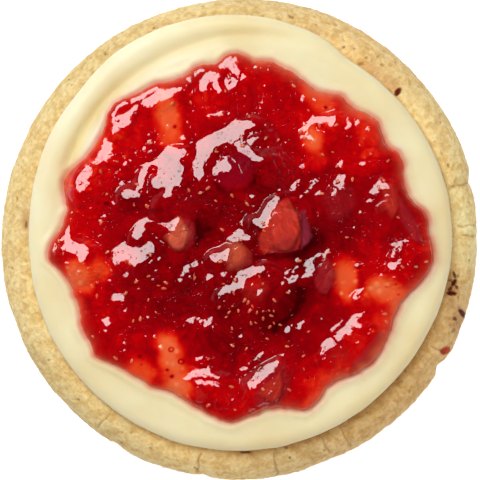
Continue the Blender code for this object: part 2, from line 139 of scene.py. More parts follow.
# Places where the jam leans to the light and shines, as chains of discs: x, y, radius. Each is a slope
# that rises away from the light, and the jam falls off round it.
FACETS = (
    ((-26.2, 10.7, 1.27), (-23.9, 10.7, 0.51), (-23.2, 12.4, 0.67), (-22.6, 15, 0.83),
     (-21.2, 17.6, 1.16), (-18.9, 19.3, 1.83), (-16, 19.6, 1.99), (-13.3, 20.2, 1.06)),
    ((-21.3, 17, 0.92), (-19.1, 18.6, 1.85), (-16.2, 16.1, 3.1), (-15.4, 14.2, 1.85)),
    ((-19.3, 13.3, 1.27), (-17.4, 14, 1.39), (-14.3, 14.8, 1.2)),
    ((-16.3, 13.1, 1.16), (-16.5, 11, 0.74), (-17.3, 10.3, 0.49)),
    ((-9.4, 14.8, 1.06), (-10, 17.6, 1.32), (-8.4, 20.2, 1.64), (-8.4, 22.9, 1.32),
     (-6.7, 24.5, 1.32), (-3.7, 25.5, 1.48), (-0.4, 26.2, 1.48), (2.5, 26.8, 0.9)),
    ((-8.2, 21.8, 1.39), (-4.3, 23.9, 1.85), (-0.6, 24.6, 1.62)),
    ((-0.4, 23.7, 1.39), (0.1, 21.8, 1.2), (1.5, 20.8, 0.99), (3.2, 19, 0.83), (4.8, 18.5, 0.49)),
    ((1.7, 22.3, 0.92), (3.1, 23.1, 0.6), (4.1, 23.6, 0.35)),
    ((-6.2, 15.7, 0.92), (-5.4, 16.6, 1.06), (-3.7, 17.7, 0.92), (-2.6, 17.2, 0.49)),
    ((-21.1, 31.8, 1.43), (-20, 32.5, 1.57), (-18.6, 33.1, 1.48), (-16.6, 34.5, 1.64),
     (-14.3, 35.3, 1.06)),
    ((-29.3, 25.2, 0.79), (-27.2, 27.5, 1.53), (-26.5, 29.5, 1.43), (-24.2, 30.5, 0.74)),
    ((-33.6, 18.6, 1), (-31.3, 20.4, 2), (-30.8, 22.3, 1.4)),
    ((-38.2, 14.6, 1.4), (-36.2, 15.2, 1.9), (-34.5, 17, 1.3)),
    ((-37.1, 13.3, 1.06), (-36.9, 12.1, 0.74), (-35.1, 13, 0.74)),
    ((-8, 37.8, 1.22), (-8.4, 35.3, 1.06)),
    ((-7.7, 38, 1.2), (-5.7, 38.2, 0.88), (-6.1, 36.4, 0.79), (-5.1, 34.5, 0.51)),
    ((-2.1, 40.7, 1.06), (-1.1, 39, 1.02)),
    ((-0.3, 38, 1.02), (0.9, 37.6, 0.53)),
    ((-3.6, 36.6, 0.79), (-2.2, 36, 1.02), (-0.8, 37.1, 0.79)),
    ((-23.9, 1.4, 1.25), (-22.9, 3.4, 0.99), (-21.9, 5.4, 0.99), (-19.9, 5.1, 0.99),
     (-17.6, 4.1, 0.9)),
    ((-17.2, 4.1, 1.06), (-15.6, 3.7, 1.11), (-14.5, 5, 0.67)),
    ((-28.5, -4.7, 1.06), (-27.5, -2.9, 1.8), (-24.5, -1.8, 2.17), (-21.2, -1.8, 1.57)),
    ((-24.2, -4.5, 1.25), (-22.2, -4.3, 0.74)),
    ((-40.4, 1.4, 0.99), (-39.4, -0.6, 1.11), (-37.8, -2, 1.34), (-36.4, -2.3, 1.34),
     (-36.4, -4.2, 0.79)),
    ((-40.7, -1.9, 0.79), (-38.9, -2, 1.02)),
    ((-15.3, -8.1, 0.6), (-13.7, -7.5, 1.06), (-12.3, -6.5, 0.74)),
    ((-13.8, -8, 0.83), (-14, -9.2, 0.6)),
    ((-7, -3.5, 0.99), (-6.1, -2.2, 1.11), (-4.7, -1.9, 0.67)),
    ((-6.1, -4, 0.99), (-4.1, -3.8, 0.9), (-2.8, -2.4, 0.62)),
    ((-2.1, 0.1, 0.6), (-0.4, 1.1, 1.43), (1.4, 0.7, 0.99)),
    ((-7.4, -8.9, 0.55), (-6.8, -7.8, 0.6)),
    ((-4.7, -7.4, 0.46), (-3.8, -7.7, 0.55)),
    ((-4.7, -12.4, 0.42), (-2.8, -11.1, 1.06), (-0.8, -9.8, 1.57), (0.6, -8.2, 1.29)),
    ((1, -7.8, 1.11), (3.5, -7.1, 0.9), (5.2, -6.7, 0.76)),
    ((3.5, 4.4, 0.62), (5.2, 4.1, 1.27), (6.3, 6.1, 1.11), (7.3, 8, 1.06), (8.5, 9.7, 0.62)),
    ((-29.5, -13.8, 0.42), (-28.5, -12.8, 0.95), (-27.5, -12.4, 0.79), (-27.4, -13.8, 0.46)),
    ((-31.2, -18.2, 0.88), (-30.6, -19.1, 0.88)),
    ((-12.7, -31.9, 0.42), (-11.3, -31.2, 0.95), (-9.7, -30.6, 1.25), (-7.7, -29.9, 0.79)),
    ((-8.7, -30.9, 0.79), (-6.7, -31.2, 0.44), (-5.1, -31.8, 0.23)),
    ((-9.7, -32.6, 0.62), (-7.4, -32.9, 0.44), (-5.1, -33.7, 0.25)),
    ((-10, -27.3, 0.55), (-8.7, -27.1, 0.44)),
    ((0.2, -30, 0.35), (1.5, -29.6, 0.3)),
    ((0.2, -32.6, 0.6), (1.5, -33.2, 1.11), (3.3, -33.6, 0.95)),
    ((2.7, -33.2, 1.02), (4.8, -31.2, 1.2), (6.8, -29.6, 1.11), (8.5, -28.3, 0.62)),
    ((19, -26.3, 0.55), (19.7, -24.3, 0.79), (21.4, -23.7, 0.95), (23.7, -22, 0.95)),
    ((23, -22.4, 0.97), (25.6, -20, 1.06), (26.9, -18, 0.79), (28.3, -16.1, 0.62)),
    ((26.6, -19.3, 0.69), (27.5, -19.6, 0.6)),
    ((21.4, -21, 0.28), (23.2, -18.9, 0.35)),
    ((26.6, -13.1, 0.55), (27.6, -11.8, 0.62), (28.3, -11, 0.35)),
    ((34.9, -5.8, 0.95), (36.5, -4.8, 0.55), (37.3, -4.3, 0.3)),
    ((35.2, -3.8, 0.44), (35.9, -2.4, 0.67), (36.9, -0.9, 0.44)),
    ((16.1, -5.6, 0.55), (16.4, -4.7, 0.44)),
    ((15.1, 25.5, 0.58), (15.5, 27.2, 0.95), (17.1, 27.8, 0.79)),
    ((17, 27.8, 0.79), (19, 27.9, 0.65)),
    ((19.3, 27.9, 0.55), (21.4, 28, 0.69), (20.8, 26.7, 0.35)),
    ((24.8, 28.2, 0.35), (24.8, 26.3, 0.88)),
    ((26.6, 26.2, 0.67), (27.1, 27.7, 0.3)),
    ((14.1, 32.6, 0.67), (14.7, 33.1, 0.46)),
    ((23.3, 15, 1.16), (23.8, 13.3, 0.58)),
    ((23.3, 17.3, 0.55), (23.5, 18.6, 0.23)),
    ((12.4, 12, 0.53), (12.6, 13, 0.55), (13.5, 13.6, 0.46)),
    ((21.7, 11.5, 0.67), (21.5, 10.4, 0.28)),
    ((22.5, 12, 0.3), (23.8, 12.2, 0.42)),
    ((31.2, 11.3, 0.79), (32.6, 12.7, 1.11), (33.9, 12.3, 0.62)),
    ((26.3, 2.9, 0.25), (27.3, 3.9, 0.25)),
)
# Small dots of the same kind: x, y, radius.
GLINTS = (
    (-29.1, 8.6, 0.51), (-26.5, -8, 0.69), (-18.8, -4.2, 0.55), (-10.4, -5.5, 0.69),
    (-26.7, -16.2, 0.46), (-31, -20.8, 0.39), (17.1, 32.6, 0.44), (28.4, 17.7, 0.53),
    (14.1, 10.2, 0.42), (14.4, 17, 0.55), (18.4, 10.8, 0.49), (19.2, 10.2, 0.44), (27.8, 6.6, 0.39),
    (2.9, 14.5, 0.46), (2.7, 10.2, 0.6), (3.2, 8, 0.37), (0.6, 3.9, 0.65), (0.9, 15.5, 0.32),
    (5.5, 35.6, 0.39), (7.1, 36.1, 0.39), (10.4, 22.6, 0.37), (2.9, 17, 0.42), (-18.1, 8.7, 0.6),
    (-18.1, 9.1, 0.51), (-27.4, 13.2, 0.42), (-26.6, 17.7, 0.6), (-34.7, 7.7, 0.51),
    (-13.2, 23.7, 0.51), (-11.6, 21.7, 0.51), (-13.4, 22.3, 0.37), (-21.4, -0.7, 0.28),
    (-18.4, -1.5, 0.28), (15.7, -7.1, 0.39), (6.4, -9.4, 0.39), (11, -8, 0.39), (11.9, -8.6, 0.42),
    (11.6, -11.7, 0.37), (18.8, -18.1, 0.32), (0.1, -22.2, 0.46), (9.8, -26.4, 0.32),
    (5.2, -26.2, 0.28), (-21.3, -17.8, 0.39), (-26.7, -23.6, 0.32), (-26.7, -25.3, 0.28),
    (-18.4, -24.5, 0.32), (-13.5, -33.9, 0.32), (32.5, -8, 0.35), (-16.3, -6.4, 0.28),
    (-6.6, -17.9, 0.25), (-2.7, -32.8, 0.28),
)
# Rounded fruit under the film of jam: x, y, length, width, turn, height.
LUMPS = (
    (-1.6, 14.2, 5.6, 5, 20, 1.7),
    (14.5, -9.8, 5.2, 4.6, 0, 1.2),
    (38, -3.7, 5.4, 4.6, 60, 0.9),
    (31.2, 21.4, 5.4, 4.2, 120, 0.8),
    (18.4, 22.4, 4.4, 3.6, 10, 0.9),
    (21.5, 10, 5.4, 4.4, 0, 1),
    (8.6, 19.4, 4.4, 3.6, 0, 0.7),
    (-18.6, -28, 3.2, 5.6, 12, 0.8),
    (14, -24, 5.2, 4.8, 0, 0.8),
    (-8, -22, 5, 4.4, 0, 0.9),
    (6, -14, 6.4, 5, 25, 1.2),
    (28.4, -10.4, 4.2, 5.4, 0, 0.8),
    (-24, -7.4, 5.2, 4, 10, 0.8),
)

# Diced strawberry that stands out of the jam: x, y, length, width, height, turn, tilt, how proud.
FRUIT = (
    (9.7, 2.9, 12.2, 10.6, 5.2, 60, 8, 2.2),
    (-14.3, 1.0, 8.8, 7.8, 4.3, 20, -8, 1.6),
    (0.2, -3.6, 7.4, 6.8, 4.0, 100, 6, 1.4),
    (20.2, -7.2, 10.6, 7.4, 4.2, 75, 8, 1.4),
    (26.0, -24.2, 14.2, 9.4, 4.6, 45, -6, 1.5),
    (6.6, -31.8, 9.4, 8.4, 4.3, 20, 8, 1.5),
    (-7.0, -35.2, 11.4, 7.2, 3.9, 5, -6, 1.2),
    (34.6, 6.8, 9.8, 8.6, 4.1, 110, 7, 1.4),
)
FRUIT_SWELL = 1.2

# How far a dice's top stands over the jam, as a share of how proud the solid is.
FRUIT_SHOWN = (0.75, 0.5, 0.5, 0.15, 0.15, 0.5, 0.15, 0.15)
# How softly the jam's film closes over its sides.
FRUIT_SOFT = (0.35, 1.0, 1.0, 1.0, 1.0, 0.6, 1.0, 1.0)
# How much of its flesh shows through the film, and how pale that flesh is.
FRUIT_TONES = (
    (0, 0.55), (0.3, 1), (0.3, 0.85), (0.15, 0.25), (0.1, 0.2), (0.2, 0.55), (0, 0.1), (0, 0.2),
)
# The dice's flesh from deep to pale, and the painted shade on its side away from the light.
FLESH_RAMP = ((0.0, (0.46, 0.004, 0.005)), (0.5, (0.66, 0.036, 0.012)), (1.0, (0.82, 0.16, 0.055)))
PAINTED_SHADE_FLESH = np.array((0.24, 0.016, 0.035))

# Places where the jam is thin or pale fruit lies close under it: x, y, length, width, turn, strength.
PALE_PLACES = (
    (-16.8, 28.6, 3.9, 7.8, 8, 0.95),
    (-15.6, 22.6, 3.4, 2.8, 0, 0.45),
    (17.6, 33.4, 5.4, 3, -35, 0.8),
    (16.6, 23.6, 3.2, 3.6, 10, 0.95),
    (17.6, 18.6, 2.8, 3, 0, 0.5),
    (24.4, -9, 3.6, 6, 0, 0.92),
    (33.2, -11.6, 4.6, 3.4, -25, 1),
    (37, -15.4, 2.6, 4.6, -20, 0.8),
    (-37.2, -8.4, 3.2, 5, 30, 0.95),
    (-32.6, -6.8, 3.4, 3.4, 0, 0.8),
    (-38.4, -14.4, 2.4, 3.6, 20, 0.75),
    (-16, -26.6, 3.6, 7.6, 14, 1),
    (-14.8, -34.4, 3.6, 3.8, 0, 1),
    (-23.2, -30.2, 3.6, 4.6, 18, 0.8),
    (15, -33.6, 6.4, 3, 35, 0.3),
    (18, -37, 5.6, 2, 30, 0.7),
    (31.6, -27.2, 2.2, 3.4, -20, 0.45),
    (37.2, 21.4, 2.8, 3.6, 20, 0.45),
    (33, -18.4, 2.4, 2, 0, 0.5),
    (-39.8, 13.4, 1.6, 2.6, 0, 0.55),
    (-41.4, 7.6, 1.2, 2, 0, 0.6),
    (20.6, -30.6, 3, 2.4, 0, 0.45),
    (3.8, -10, 2.4, 1.8, 0, 0.4),
    (35.7, -13.8, 8, 7, 0, 0.4),
    (30.4, -23, 6, 5, 0, 0.34),
    (20.5, 28.9, 8, 4, 0, 0.38),
    (29.9, 26.5, 4, 4.5, 0, 0.5),
    (-31.5, 21.4, 3.5, 4, 0, 0.3),
    (-26.5, -4, 3.5, 3, 0, 0.34),
    (-15.5, -32, 6, 4.5, 0, 0.45),
    (5, -35, 4, 3.5, 0, 0.3),
    (19.3, -34, 4, 3.5, 0, 0.4),
    (-1, -39, 3, 2.5, 0, 0.3),
)

# Colours of the fruit that shows through the film.
TAN, ROSE, PLUM = (0.60, 0.034, 0.021), (0.40, 0.014, 0.020), (0.27, 0.004, 0.020)
SALMON, MAUVE = (0.74, 0.12, 0.062), (0.30, 0.025, 0.048)

# Pieces of fruit seen through the film: colour, strength, bearing of the fibres, corners in order.
PIECES = (
    (ROSE, 0.62, 60, ((3.6, -37.8), (7, -38.2), (11, -36.2), (11.7, -31.5), (10.1, -27.8),
     (6.8, -30.2), (3.1, -35.5))),
    (TAN, 0.86, 60, ((3.8, -35.2), (7.3, -37.1), (9.4, -35.9), (9.8, -33.6), (9.4, -30.4),
     (8.7, -29.9), (6.4, -32.7), (4.3, -34.5))),
    (MAUVE, 0.85, 100, ((13.5, 4.3), (13.8, 0.6), (13.6, -2.2), (15.4, -1.2), (16.9, 0.8),
     (15.8, 4.4), (14.8, 6.9), (13.4, 6.4))),
    (TAN, 0.95, 115, ((5.9, 4.3), (4.3, 1), (4.5, -1.5), (5.4, -3.1), (9.1, -2.9), (13.1, -2.2),
     (14, 0.6), (13.8, 3.8), (12.6, 7), (11, 9.6), (8.9, 8.7))),
    (PLUM, 0.42, 20, ((7.3, -1.3), (7.3, -3), (9.8, -2.8), (13.1, -2.2), (13.3, 0.8), (10.4, 0.4))),
    (ROSE, 0.7, 80, ((-13.3, 1), (-12.8, -2.2), (-11, -0.8), (-10.3, 2), (-11.2, 4.3),
     (-12.6, 5.2))),
    (SALMON, 0.82, 70, ((-15.8, 2.9), (-16.8, 1), (-16.3, -0.6), (-15.1, -2.2), (-13.5, -2),
     (-12.4, 0.1), (-12.1, 2.9), (-13.1, 5), (-14.9, 5.4))),
    (SALMON, 0.55, 70, ((-3.4, -4.8), (-2.2, -6.6), (-0.2, -6.4), (1.2, -4.2), (0.9, -1.7),
     (-0.7, -0.4), (-3, -0.8))),
    (ROSE, 0.85, 125, ((36.6, 6.8), (38, 3.1), (40.1, -0.1), (42.6, -0.6), (41.5, 2.7), (39.6, 6.1),
     (37.6, 9.6), (36.4, 10.3))),
    (TAN, 0.7, 100, ((33.4, 7.5), (35, 5.4), (36.4, 7), (36.4, 10.5), (35, 13.3), (33.2, 12.1))),
    (ROSE, 0.45, 110, ((18.8, 9.4), (19.8, 6.6), (22.3, 4.7), (25.3, 5.9), (26.7, 8.7),
     (25.8, 11.7), (23, 13.3), (20.2, 12.1))),
    (ROSE, 0.88, 65, ((17.2, -9.2), (18.4, -12.2), (20, -12.6), (21.2, -9.6), (21.8, -6.6),
     (20.4, -4.6), (18.4, -5.6))),
    (ROSE, 0.72, 35, ((25, -30.6), (27.4, -30.4), (30.4, -28), (32.6, -24.6), (33.6, -21.6),
     (32.2, -21), (29.6, -24.2), (26.6, -27.4))),
    (TAN, 0.32, 40, ((1.5, -9.8), (0.8, -11.9), (2.2, -13.7), (5, -13.3), (6.4, -11.4), (5, -9.4))),
    (TAN, 0.22, 20, ((20.9, -27.8), (22.8, -29.2), (25.5, -28.5), (25.8, -25.8), (23.5, -24.6),
     (20.7, -25.8))),
    (PLUM, 0.45, 30, ((-2.9, 11.7), (1.3, 12.8), (3.1, 15.8), (2.4, 19.1), (-1, 20.2), (-4.3, 18.1),
     (-5.4, 14))),
)

# Dark creases between the pieces, as lines of points.
CREASES = (
    ((8, -20.7), (10.3, -18.8), (12.6, -16.5), (14.4, -13.8), (13.8, -11.2)),
    ((4, -3.8), (8, -4), (12.6, -3.8), (15.1, -2.4), (17.2, -0.3)),
    ((-9.8, 4.3), (-9.4, 1.3), (-10.1, -1.7)),
    ((-5.9, 13.1), (-2.9, 10.7), (1.3, 11.7), (4, 14.4)),
    ((2.2, -7.3), (1.3, -8.2), (-1, -8)),
    ((27, -13.6), (27.9, -10.6), (27.6, -7.8)),
)

# Lighter and darker parts of the jam: x, y, size, how much deeper.
TONES = (
    (-35, 6, 9, -0.2), (-27, 22, 8, -0.16), (-9, 30, 5, -0.16), (4, 34, 7, -0.1),
    (25, 20, 8, -0.16), (-32, -20, 6, -0.06), (-4, -33, 6, -0.08), (16, -22, 7, 0.1),
    (22, -28, 6, -0.1), (30, 0, 6, -0.08), (28.5, -8.6, 6, -0.24), (-8.6, 2.4, 3.4, 0.35),
    (-6, 8, 5, 0.16), (17.6, 0, 2.6, 0.45), (15, -4.4, 3.2, 0.28), (13, -13.6, 3.2, 0.3),
    (8, -18.6, 4, 0.28), (2.4, -24.4, 5, 0.14), (-4, -12, 4, 0.14), (5, 6, 5, 0.1),
    (-2.6, 14.4, 3.6, -0.1), (8, 18, 4.4, -0.1), (22, 9, 4.6, 0.08), (-20, 11, 4, 0.12),
    (-18, -12, 8, 0.08), (26, 30, 3, -0.15), (31, 9.4, 9, 0.24), (-29, 5.6, 7.5, 0.18),
    (-24, -20, 8, 0.1), (-6, -19, 7, 0.12), (7, 30, 6, 0.12), (30, -19, 4, 0.12),
    (-1, -34.5, 4, 0.14), (-26, 15.4, 4, 0.1), (-31.5, -6.5, 4, 0.1), (-16.3, -24.4, 4, 0.16),
    (14.2, -34.5, 3, 0.2), (4, -29.5, 3, 0.24), (36, 1, 4, 0.22), (-16.3, 26.5, 3, 0.12),
    (-36.6, -14.2, 3.5, 0.12), (-26.5, 11.2, 3, 0.14), (-4, 13.5, 6, -0.09), (-16, 8.6, 3.5, -0.11),
    (22, 8, 4, -0.09), (-5, -12, 6, -0.11),
)

# Dark seeds and rings of bubbles close under the film: x, y, width of the line, radius of the ring.
MARKS = (
    (-15.1, 26.2, 0.42, 0), (-15.9, -25.3, 0.16, 0.55), (-13.6, -28.1, 0.15, 0.66),
    (-16.8, -30, 0.34, 0), (-15.7, -31.5, 0.32, 0.15), (-23.1, -26.9, 0.22, 0.2),
    (-22.8, -28.8, 0.22, 0), (27.2, -6.1, 0.18, 0.6), (27.1, -11.5, 0.2, 0), (33.8, -10.8, 0.2, 0),
    (36.6, -12.6, 0.24, 0), (36, -10.3, 0.18, 0), (19.8, 30.6, 0.38, 0), (38.6, 21.6, 0.34, 0),
    (37.6, 18.4, 0.3, 0), (33, 27.4, 0.3, 0), (15.8, -31.8, 0.24, 0), (-8.9, -39.4, 0.3, 0),
    (-12.6, 31.4, 0.24, 0), (-30.8, 8.4, 0.2, 0.4),
)
# Bubbles that stand up in the film: x, y, size, height.
BUBBLES = (
    (-20.1, 16.3, 0.8, 0.34), (27.2, -6.1, 0.5, 0.16), (-13.6, -28.1, 0.5, 0.12),
    (-15.9, -25.3, 0.45, 0.1), (32.8, 18.4, 0.6, 0.16), (13.6, 12.6, 0.6, 0.26),
    (37.2, -2.4, 0.9, 0.3),
)

# Where the jam runs out into a thin orange film: bearing, strength, width.
THIN_RIM = ((60, 0.65, 32), (318, 0.65, 30), (195, 0.2, 30), (112, 0.2, 12))
FILM = np.array((0.78, 0.15, 0.07))
# Colour of the jam, from its thinnest to its deepest.
JAM_RAMP = (
    (0.00, (0.98, 0.24, 0.095)),
    (0.08, (0.95, 0.125, 0.036)),
    (0.16, (0.90, 0.060, 0.012)),
    (0.28, (0.78, 0.012, 0.005)),
    (0.42, (0.62, 0.0008, 0.003)),
    (0.70, (0.40, 0.0005, 0.0035)),
    (1.00, (0.23, 0.0004, 0.0030)),
    (1.35, (0.07, 0.0003, 0.0010)),
)
MOST_DEPTH = 1.35

# Seeds on the jam, and small ones under its film.
SEED_COUNT, HIDDEN_SEED_COUNT = 104, 520
# Pieces of skin that carry more seeds: x, y, length, width, turn, count.
SEED_PATCHES = (
    (3.2, -14.4, 6.4, 4.8, -25, 11),
    (7.0, -19.5, 3.4, 3.0, 0, 3),
    (-2.6, -17.5, 3.6, 3.0, 0, 5),
    (-22.0, -8.0, 7.0, 4.0, -30, 7),
)
SEED_HALF_SIZE, SEED_TAPER = np.array((0.60, 0.31, 0.24)), 0.28
SEED_GOLD, SEED_RED = np.array((0.95, 0.28, 0.115)), np.array((0.80, 0.10, 0.045))
RANDOM_SEED = 23

# Stains of the dough and the cream, as the share of each colour that they leave. The brown of pits and
# cracks is painted shade in those hollows, and the brown beside the cream is a painted shadow of the cream.
HOLLOW_SHADE_BROWN, CREAM_SHADOW_BROWN, SMEAR_BROWN = (0.55, 0.42, 0.30), (0.62, 0.50, 0.36), (0.70, 0.52, 0.46)
SPOT_MAROON, DRIP_RED, UNDERSIDE_BROWN = (0.15, 0.02, 0.004), (0.62, 0.10, 0.09), (0.70, 0.52, 0.36)
PLAIN_CREAM = np.array((0.955, 0.868, 0.565))
CREAM_RAMP = ((0.0, PLAIN_CREAM), (0.35, (0.88, 0.54, 0.37)), (1.0, (0.84, 0.20, 0.13)))

# The camera in metres and millimetres: its height, its lens and its sensor.
CAMERA_HEIGHT, LENS, SENSOR = 0.915, 290, 36
# The lamps in metres: how far off, how wide, how strong, and their colour.
SOFTBOX = (0.62, 0.30, 2.25, (1.0, 0.97, 0.97))
FILL = (1.3, 1.0, 8.5, (1.0, 0.98, 0.95))
SIDE_LAMP = ((0.50, -0.42, 0.32), 0.5, 0.8, (1.0, 0.94, 0.88))
# The room's light: its colours away from the softbox and towards it, and its fading with height.
ROOM_SIDES = ((0.0, (0.20, 0.11, 0.17, 1)), (0.7, (0.42, 0.40, 0.40, 1)))
ROOM_HEIGHTS = ((0.15, (1, 1, 1, 1)), (0.45, (0, 0, 0, 1)))
ROOM_STRENGTH = 0.75
FLOOR_HALF, FLOOR_DROP = 0.6, 0.0002


# ---------------------------------------------------------------- shared shape functions


def smoothstep(low, high, value):
    share = np.clip((value - low) / (high - low), 0.0, 1.0)
    return share * share * (3 - 2 * share)


def bell(distance, width):
    return np.exp(-((distance / width) ** 2))


def smooth_max(first, second, blend):
    share = np.clip(0.5 + 0.5 * (first - second) / blend, 0.0, 1.0)
    return second + (first - second) * share + blend * share * (1 - share)


def smooth_min(first, second, blend):
    return -smooth_max(-first, -second, blend)


def gradients(seed):
    draw = np.random.default_rng(seed)
    directions = draw.normal(size=(256, 3))
    return draw.permutation(256), directions / np.linalg.norm(directions, axis=1, keepdims=True)


def perlin(points, seed):
    """Gradient noise from about -1 to 1 at an array of points."""
    order, directions = gradients(seed)
    cell = np.floor(points).astype(int)
    offset = points - cell
    fade = offset**3 * (offset * (offset * 6 - 15) + 10)
    total = 0.0
    for corner in range(8):
        step = np.array((corner & 1, corner >> 1 & 1, corner >> 2))
        place = (cell + step) & 255
        index = order[(order[(order[place[:, 0]] + place[:, 1]) & 255] + place[:, 2]) & 255]
        height = np.einsum("ij,ij->i", directions[index], offset - step)
        share = np.where(step, fade, 1 - fade)
        total = total + height * share.prod(axis=1)
    return total * 1.6


def layered(points, seed, layers, rough=0.5):
    """Several scales of noise, each half the size of the one before."""
    total, strength, scale = 0.0, 1.0, 1.0
    for layer in range(layers):
        total = total + strength * perlin(points * scale, seed + layer)
        strength *= rough
        scale *= 2.03
    return total


def cells(x, y, size, seed):
    """How far a place is from the border of its cell in a scattered pattern, and that cell's own value."""
    table = np.random.default_rng(seed).random((64, 64, 3))
    column, row = np.floor(x / size).astype(int), np.floor(y / size).astype(int)
    nearest, second, own = np.full_like(x, 9.0), np.full_like(x, 9.0), np.zeros_like(x)
    for step_x in (-1, 0, 1):
        for step_y in (-1, 0, 1):
            draw = table[(column + step_x) & 63, (row + step_y) & 63]
            far = np.hypot(column + step_x + draw[:, 0] - x / size, row + step_y + draw[:, 1] - y / size)
            own = np.where(far < nearest, draw[:, 2], own)
            second = np.where(far < nearest, nearest, np.minimum(second, far))
            nearest = np.minimum(nearest, far)
    return second - nearest, own


def flat_points(x, y, size, height=0.0):
    return np.stack((x / size, y / size, np.full_like(x, height)), axis=1)


def long_points(x, y, length, width):
    """Places in noise that is stretched along x."""
    return np.stack((x / length, y / width, np.zeros_like(x)), axis=1)


def apart(bearing, middle):
    """How many degrees a bearing lies from another, from -180 to 180."""
    return (bearing - middle + 180) % 360 - 180


def beside(x, y, middle_x, middle_y, reach):
    """Which places lie in a square about a middle."""
    return (np.abs(x - middle_x) < reach) & (np.abs(y - middle_y) < reach)


def sum_of_bells(bearing, table):
    total = np.zeros_like(bearing)
    for middle, amount, width in table:
        total += amount * bell(apart(bearing, middle), width)
    return total


TABLE_BEARINGS = np.arange(0, 360, 0.125)
TABLE_ANGLES = np.radians(TABLE_BEARINGS)


def ripple(radius, offset):
    """Smooth noise round an outline, read at every bearing of the table."""
    places = [(math.cos(angle) * radius, math.sin(angle) * radius, offset) for angle in TABLE_ANGLES]
    return np.array([noise.noise(Vector(place)) for place in places])


def swirl_table():
    rise = np.clip((SWIRL_START - TABLE_BEARINGS) / (SWIRL_START - SWIRL_PEAK), 0, 1)
    fall = np.clip((SWIRL_PEAK - TABLE_BEARINGS) / (SWIRL_PEAK - SWIRL_END), 0, 1)
    before = np.where(TABLE_BEARINGS > SWIRL_END, 1 - fall**2.6, 0.0)
    return np.where(TABLE_BEARINGS > SWIRL_PEAK, np.sin(rise * math.pi / 2) ** 2, before)


COOKIE_OUTLINE = (
    COOKIE_RADIUS
    + COOKIE_WOBBLE * (ripple(1.3, 4.0) + 0.6 * ripple(4.5, 9.0))
    + sum_of_bells(TABLE_BEARINGS, COOKIE_SWELLS)
    - sum_of_bells(TABLE_BEARINGS, COOKIE_NICKS)
)
CREAM_OUTLINE = (
    CREAM_RADIUS
    + SWIRL_REACH * swirl_table()
    + sum_of_bells(TABLE_BEARINGS, CREAM_SWELLS)
    + 0.2 * ripple(1.5, 20.0)
)
JAM_OUTLINE = (
    JAM_RADIUS
    + sum_of_bells(TABLE_BEARINGS, JAM_LOBES)
    + 0.3 * ripple(5.0, 30.0)
    + 0.35 * ripple(14.0, 41.0)
    + 0.2 * ripple(33.0, 52.0)
)


def outline(table, angle):
    return np.interp(np.degrees(angle) % 360, TABLE_BEARINGS, table, period=360)


def past_groove(radius, angle):
    """How far outside the middle of the swirl's groove a place lies."""
    along = (SWIRL_START - np.degrees(angle) % 360) / (SWIRL_START - SWIRL_END)
    return radius - GROOVE_RADIUS_START - (GROOVE_RADIUS_END - GROOVE_RADIUS_START) * along


def groove(radius, angle):
    depth = sum_of_bells(np.degrees(angle) % 360, GROOVE_DEPTHS)
    return depth * bell(past_groove(radius, angle), GROOVE_WIDTH)


def cream_top(radius, angle):
    inside = np.clip((outline(CREAM_OUTLINE, angle) - radius) / CREAM_EDGE, 0.0, 1.0)
    rounding = (1 - (1 - inside) ** CREAM_ROUNDNESS) ** (1 / CREAM_ROUNDNESS)
    dish = CREAM_DISH * (1 - smoothstep(DISH_INNER, DISH_OUTER, radius))
    lip = LIP_HEIGHT * bell(radius - outline(JAM_OUTLINE, angle) - LIP_OFFSET, LIP_WIDTH)
    height = CREAM_BELLY_AT + (CREAM_HEIGHT - CREAM_BELLY_AT) * rounding
    return COOKIE_HEIGHT + GAP + height - dish + lip - groove(radius, angle) * rounding


# ---------------------------------------------------------------- the jam's surface


def turned(x, y, entry_x, entry_y, turn):
    cosine, sine = math.cos(math.radians(turn)), math.sin(math.radians(turn))
    return (x - entry_x) * cosine + (y - entry_y) * sine, (y - entry_y) * cosine - (x - entry_x) * sine


def pushed_about(x, y, wide, fine, seed):
    """The same places pushed about by two scales of noise, each a wavelength and a strength."""
    far, near = flat_points(x, y, wide[0]), flat_points(x, y, fine[0])
    return (
        x + wide[1] * perlin(far, seed) + fine[1] * perlin(near, seed + 2),
        y + wide[1] * perlin(far, seed + 4) + fine[1] * perlin(near, seed + 6),
    )


def warped(x, y):
    """Places pushed about so that no lump is a clean ellipse."""
    return pushed_about(x, y, (6.0, 1.5), (2.4, 0.45), 201)


def chain_distance(x, y, chain):
    """Signed distance to a chain of discs, negative inside it, and how much its edge faces the light."""
    nearest, towards = np.full_like(x, 99.0), np.zeros_like(x)
    for (ax, ay, ar), (bx, by, br) in zip(chain, chain[1:]):
        span_x, span_y = bx - ax, by - ay
        length = max(span_x**2 + span_y**2, 1e-9)
        share = np.clip(((x - ax) * span_x + (y - ay) * span_y) / length, 0, 1)
        out_x, out_y = x - ax - share * span_x, y - ay - share * span_y
        far = np.hypot(out_x, out_y)
        gap = far - ar - (br - ar) * share
        towards = np.where(gap < nearest, ahead_of(out_x, out_y) / np.maximum(far, 1e-6), towards)
        nearest = smooth_min(nearest, gap, 0.3)
    return nearest, towards


def ahead_of(x, y):
    return x * TOWARDS_LIGHT[0] + y * TOWARDS_LIGHT[1]


def lean(x, y):
    """The slope that all the shining places share, falling to the light."""
    return -LIT_SLOPE * ahead_of(x, y)


def fall(distance):
    outside = 0.5 * (distance + np.sqrt(distance**2 + 0.02))
    return 0.50 * outside + 0.030 * outside**2


def fruit_cover(x, y, entry):
    """How far the top of a dice of fruit stands over the jam, nothing outside the dice."""
    middle_x, middle_y, length, width, _, turn, _, proud = entry
    u, v = turned(x, y, middle_x, middle_y, turn)
    square = (2 * u / length) ** 4 + (2 * v / width) ** 4
    return proud * FRUIT_SHOWN[FRUIT.index(entry)] * (1 - smoothstep(0.35, 1.3, square))


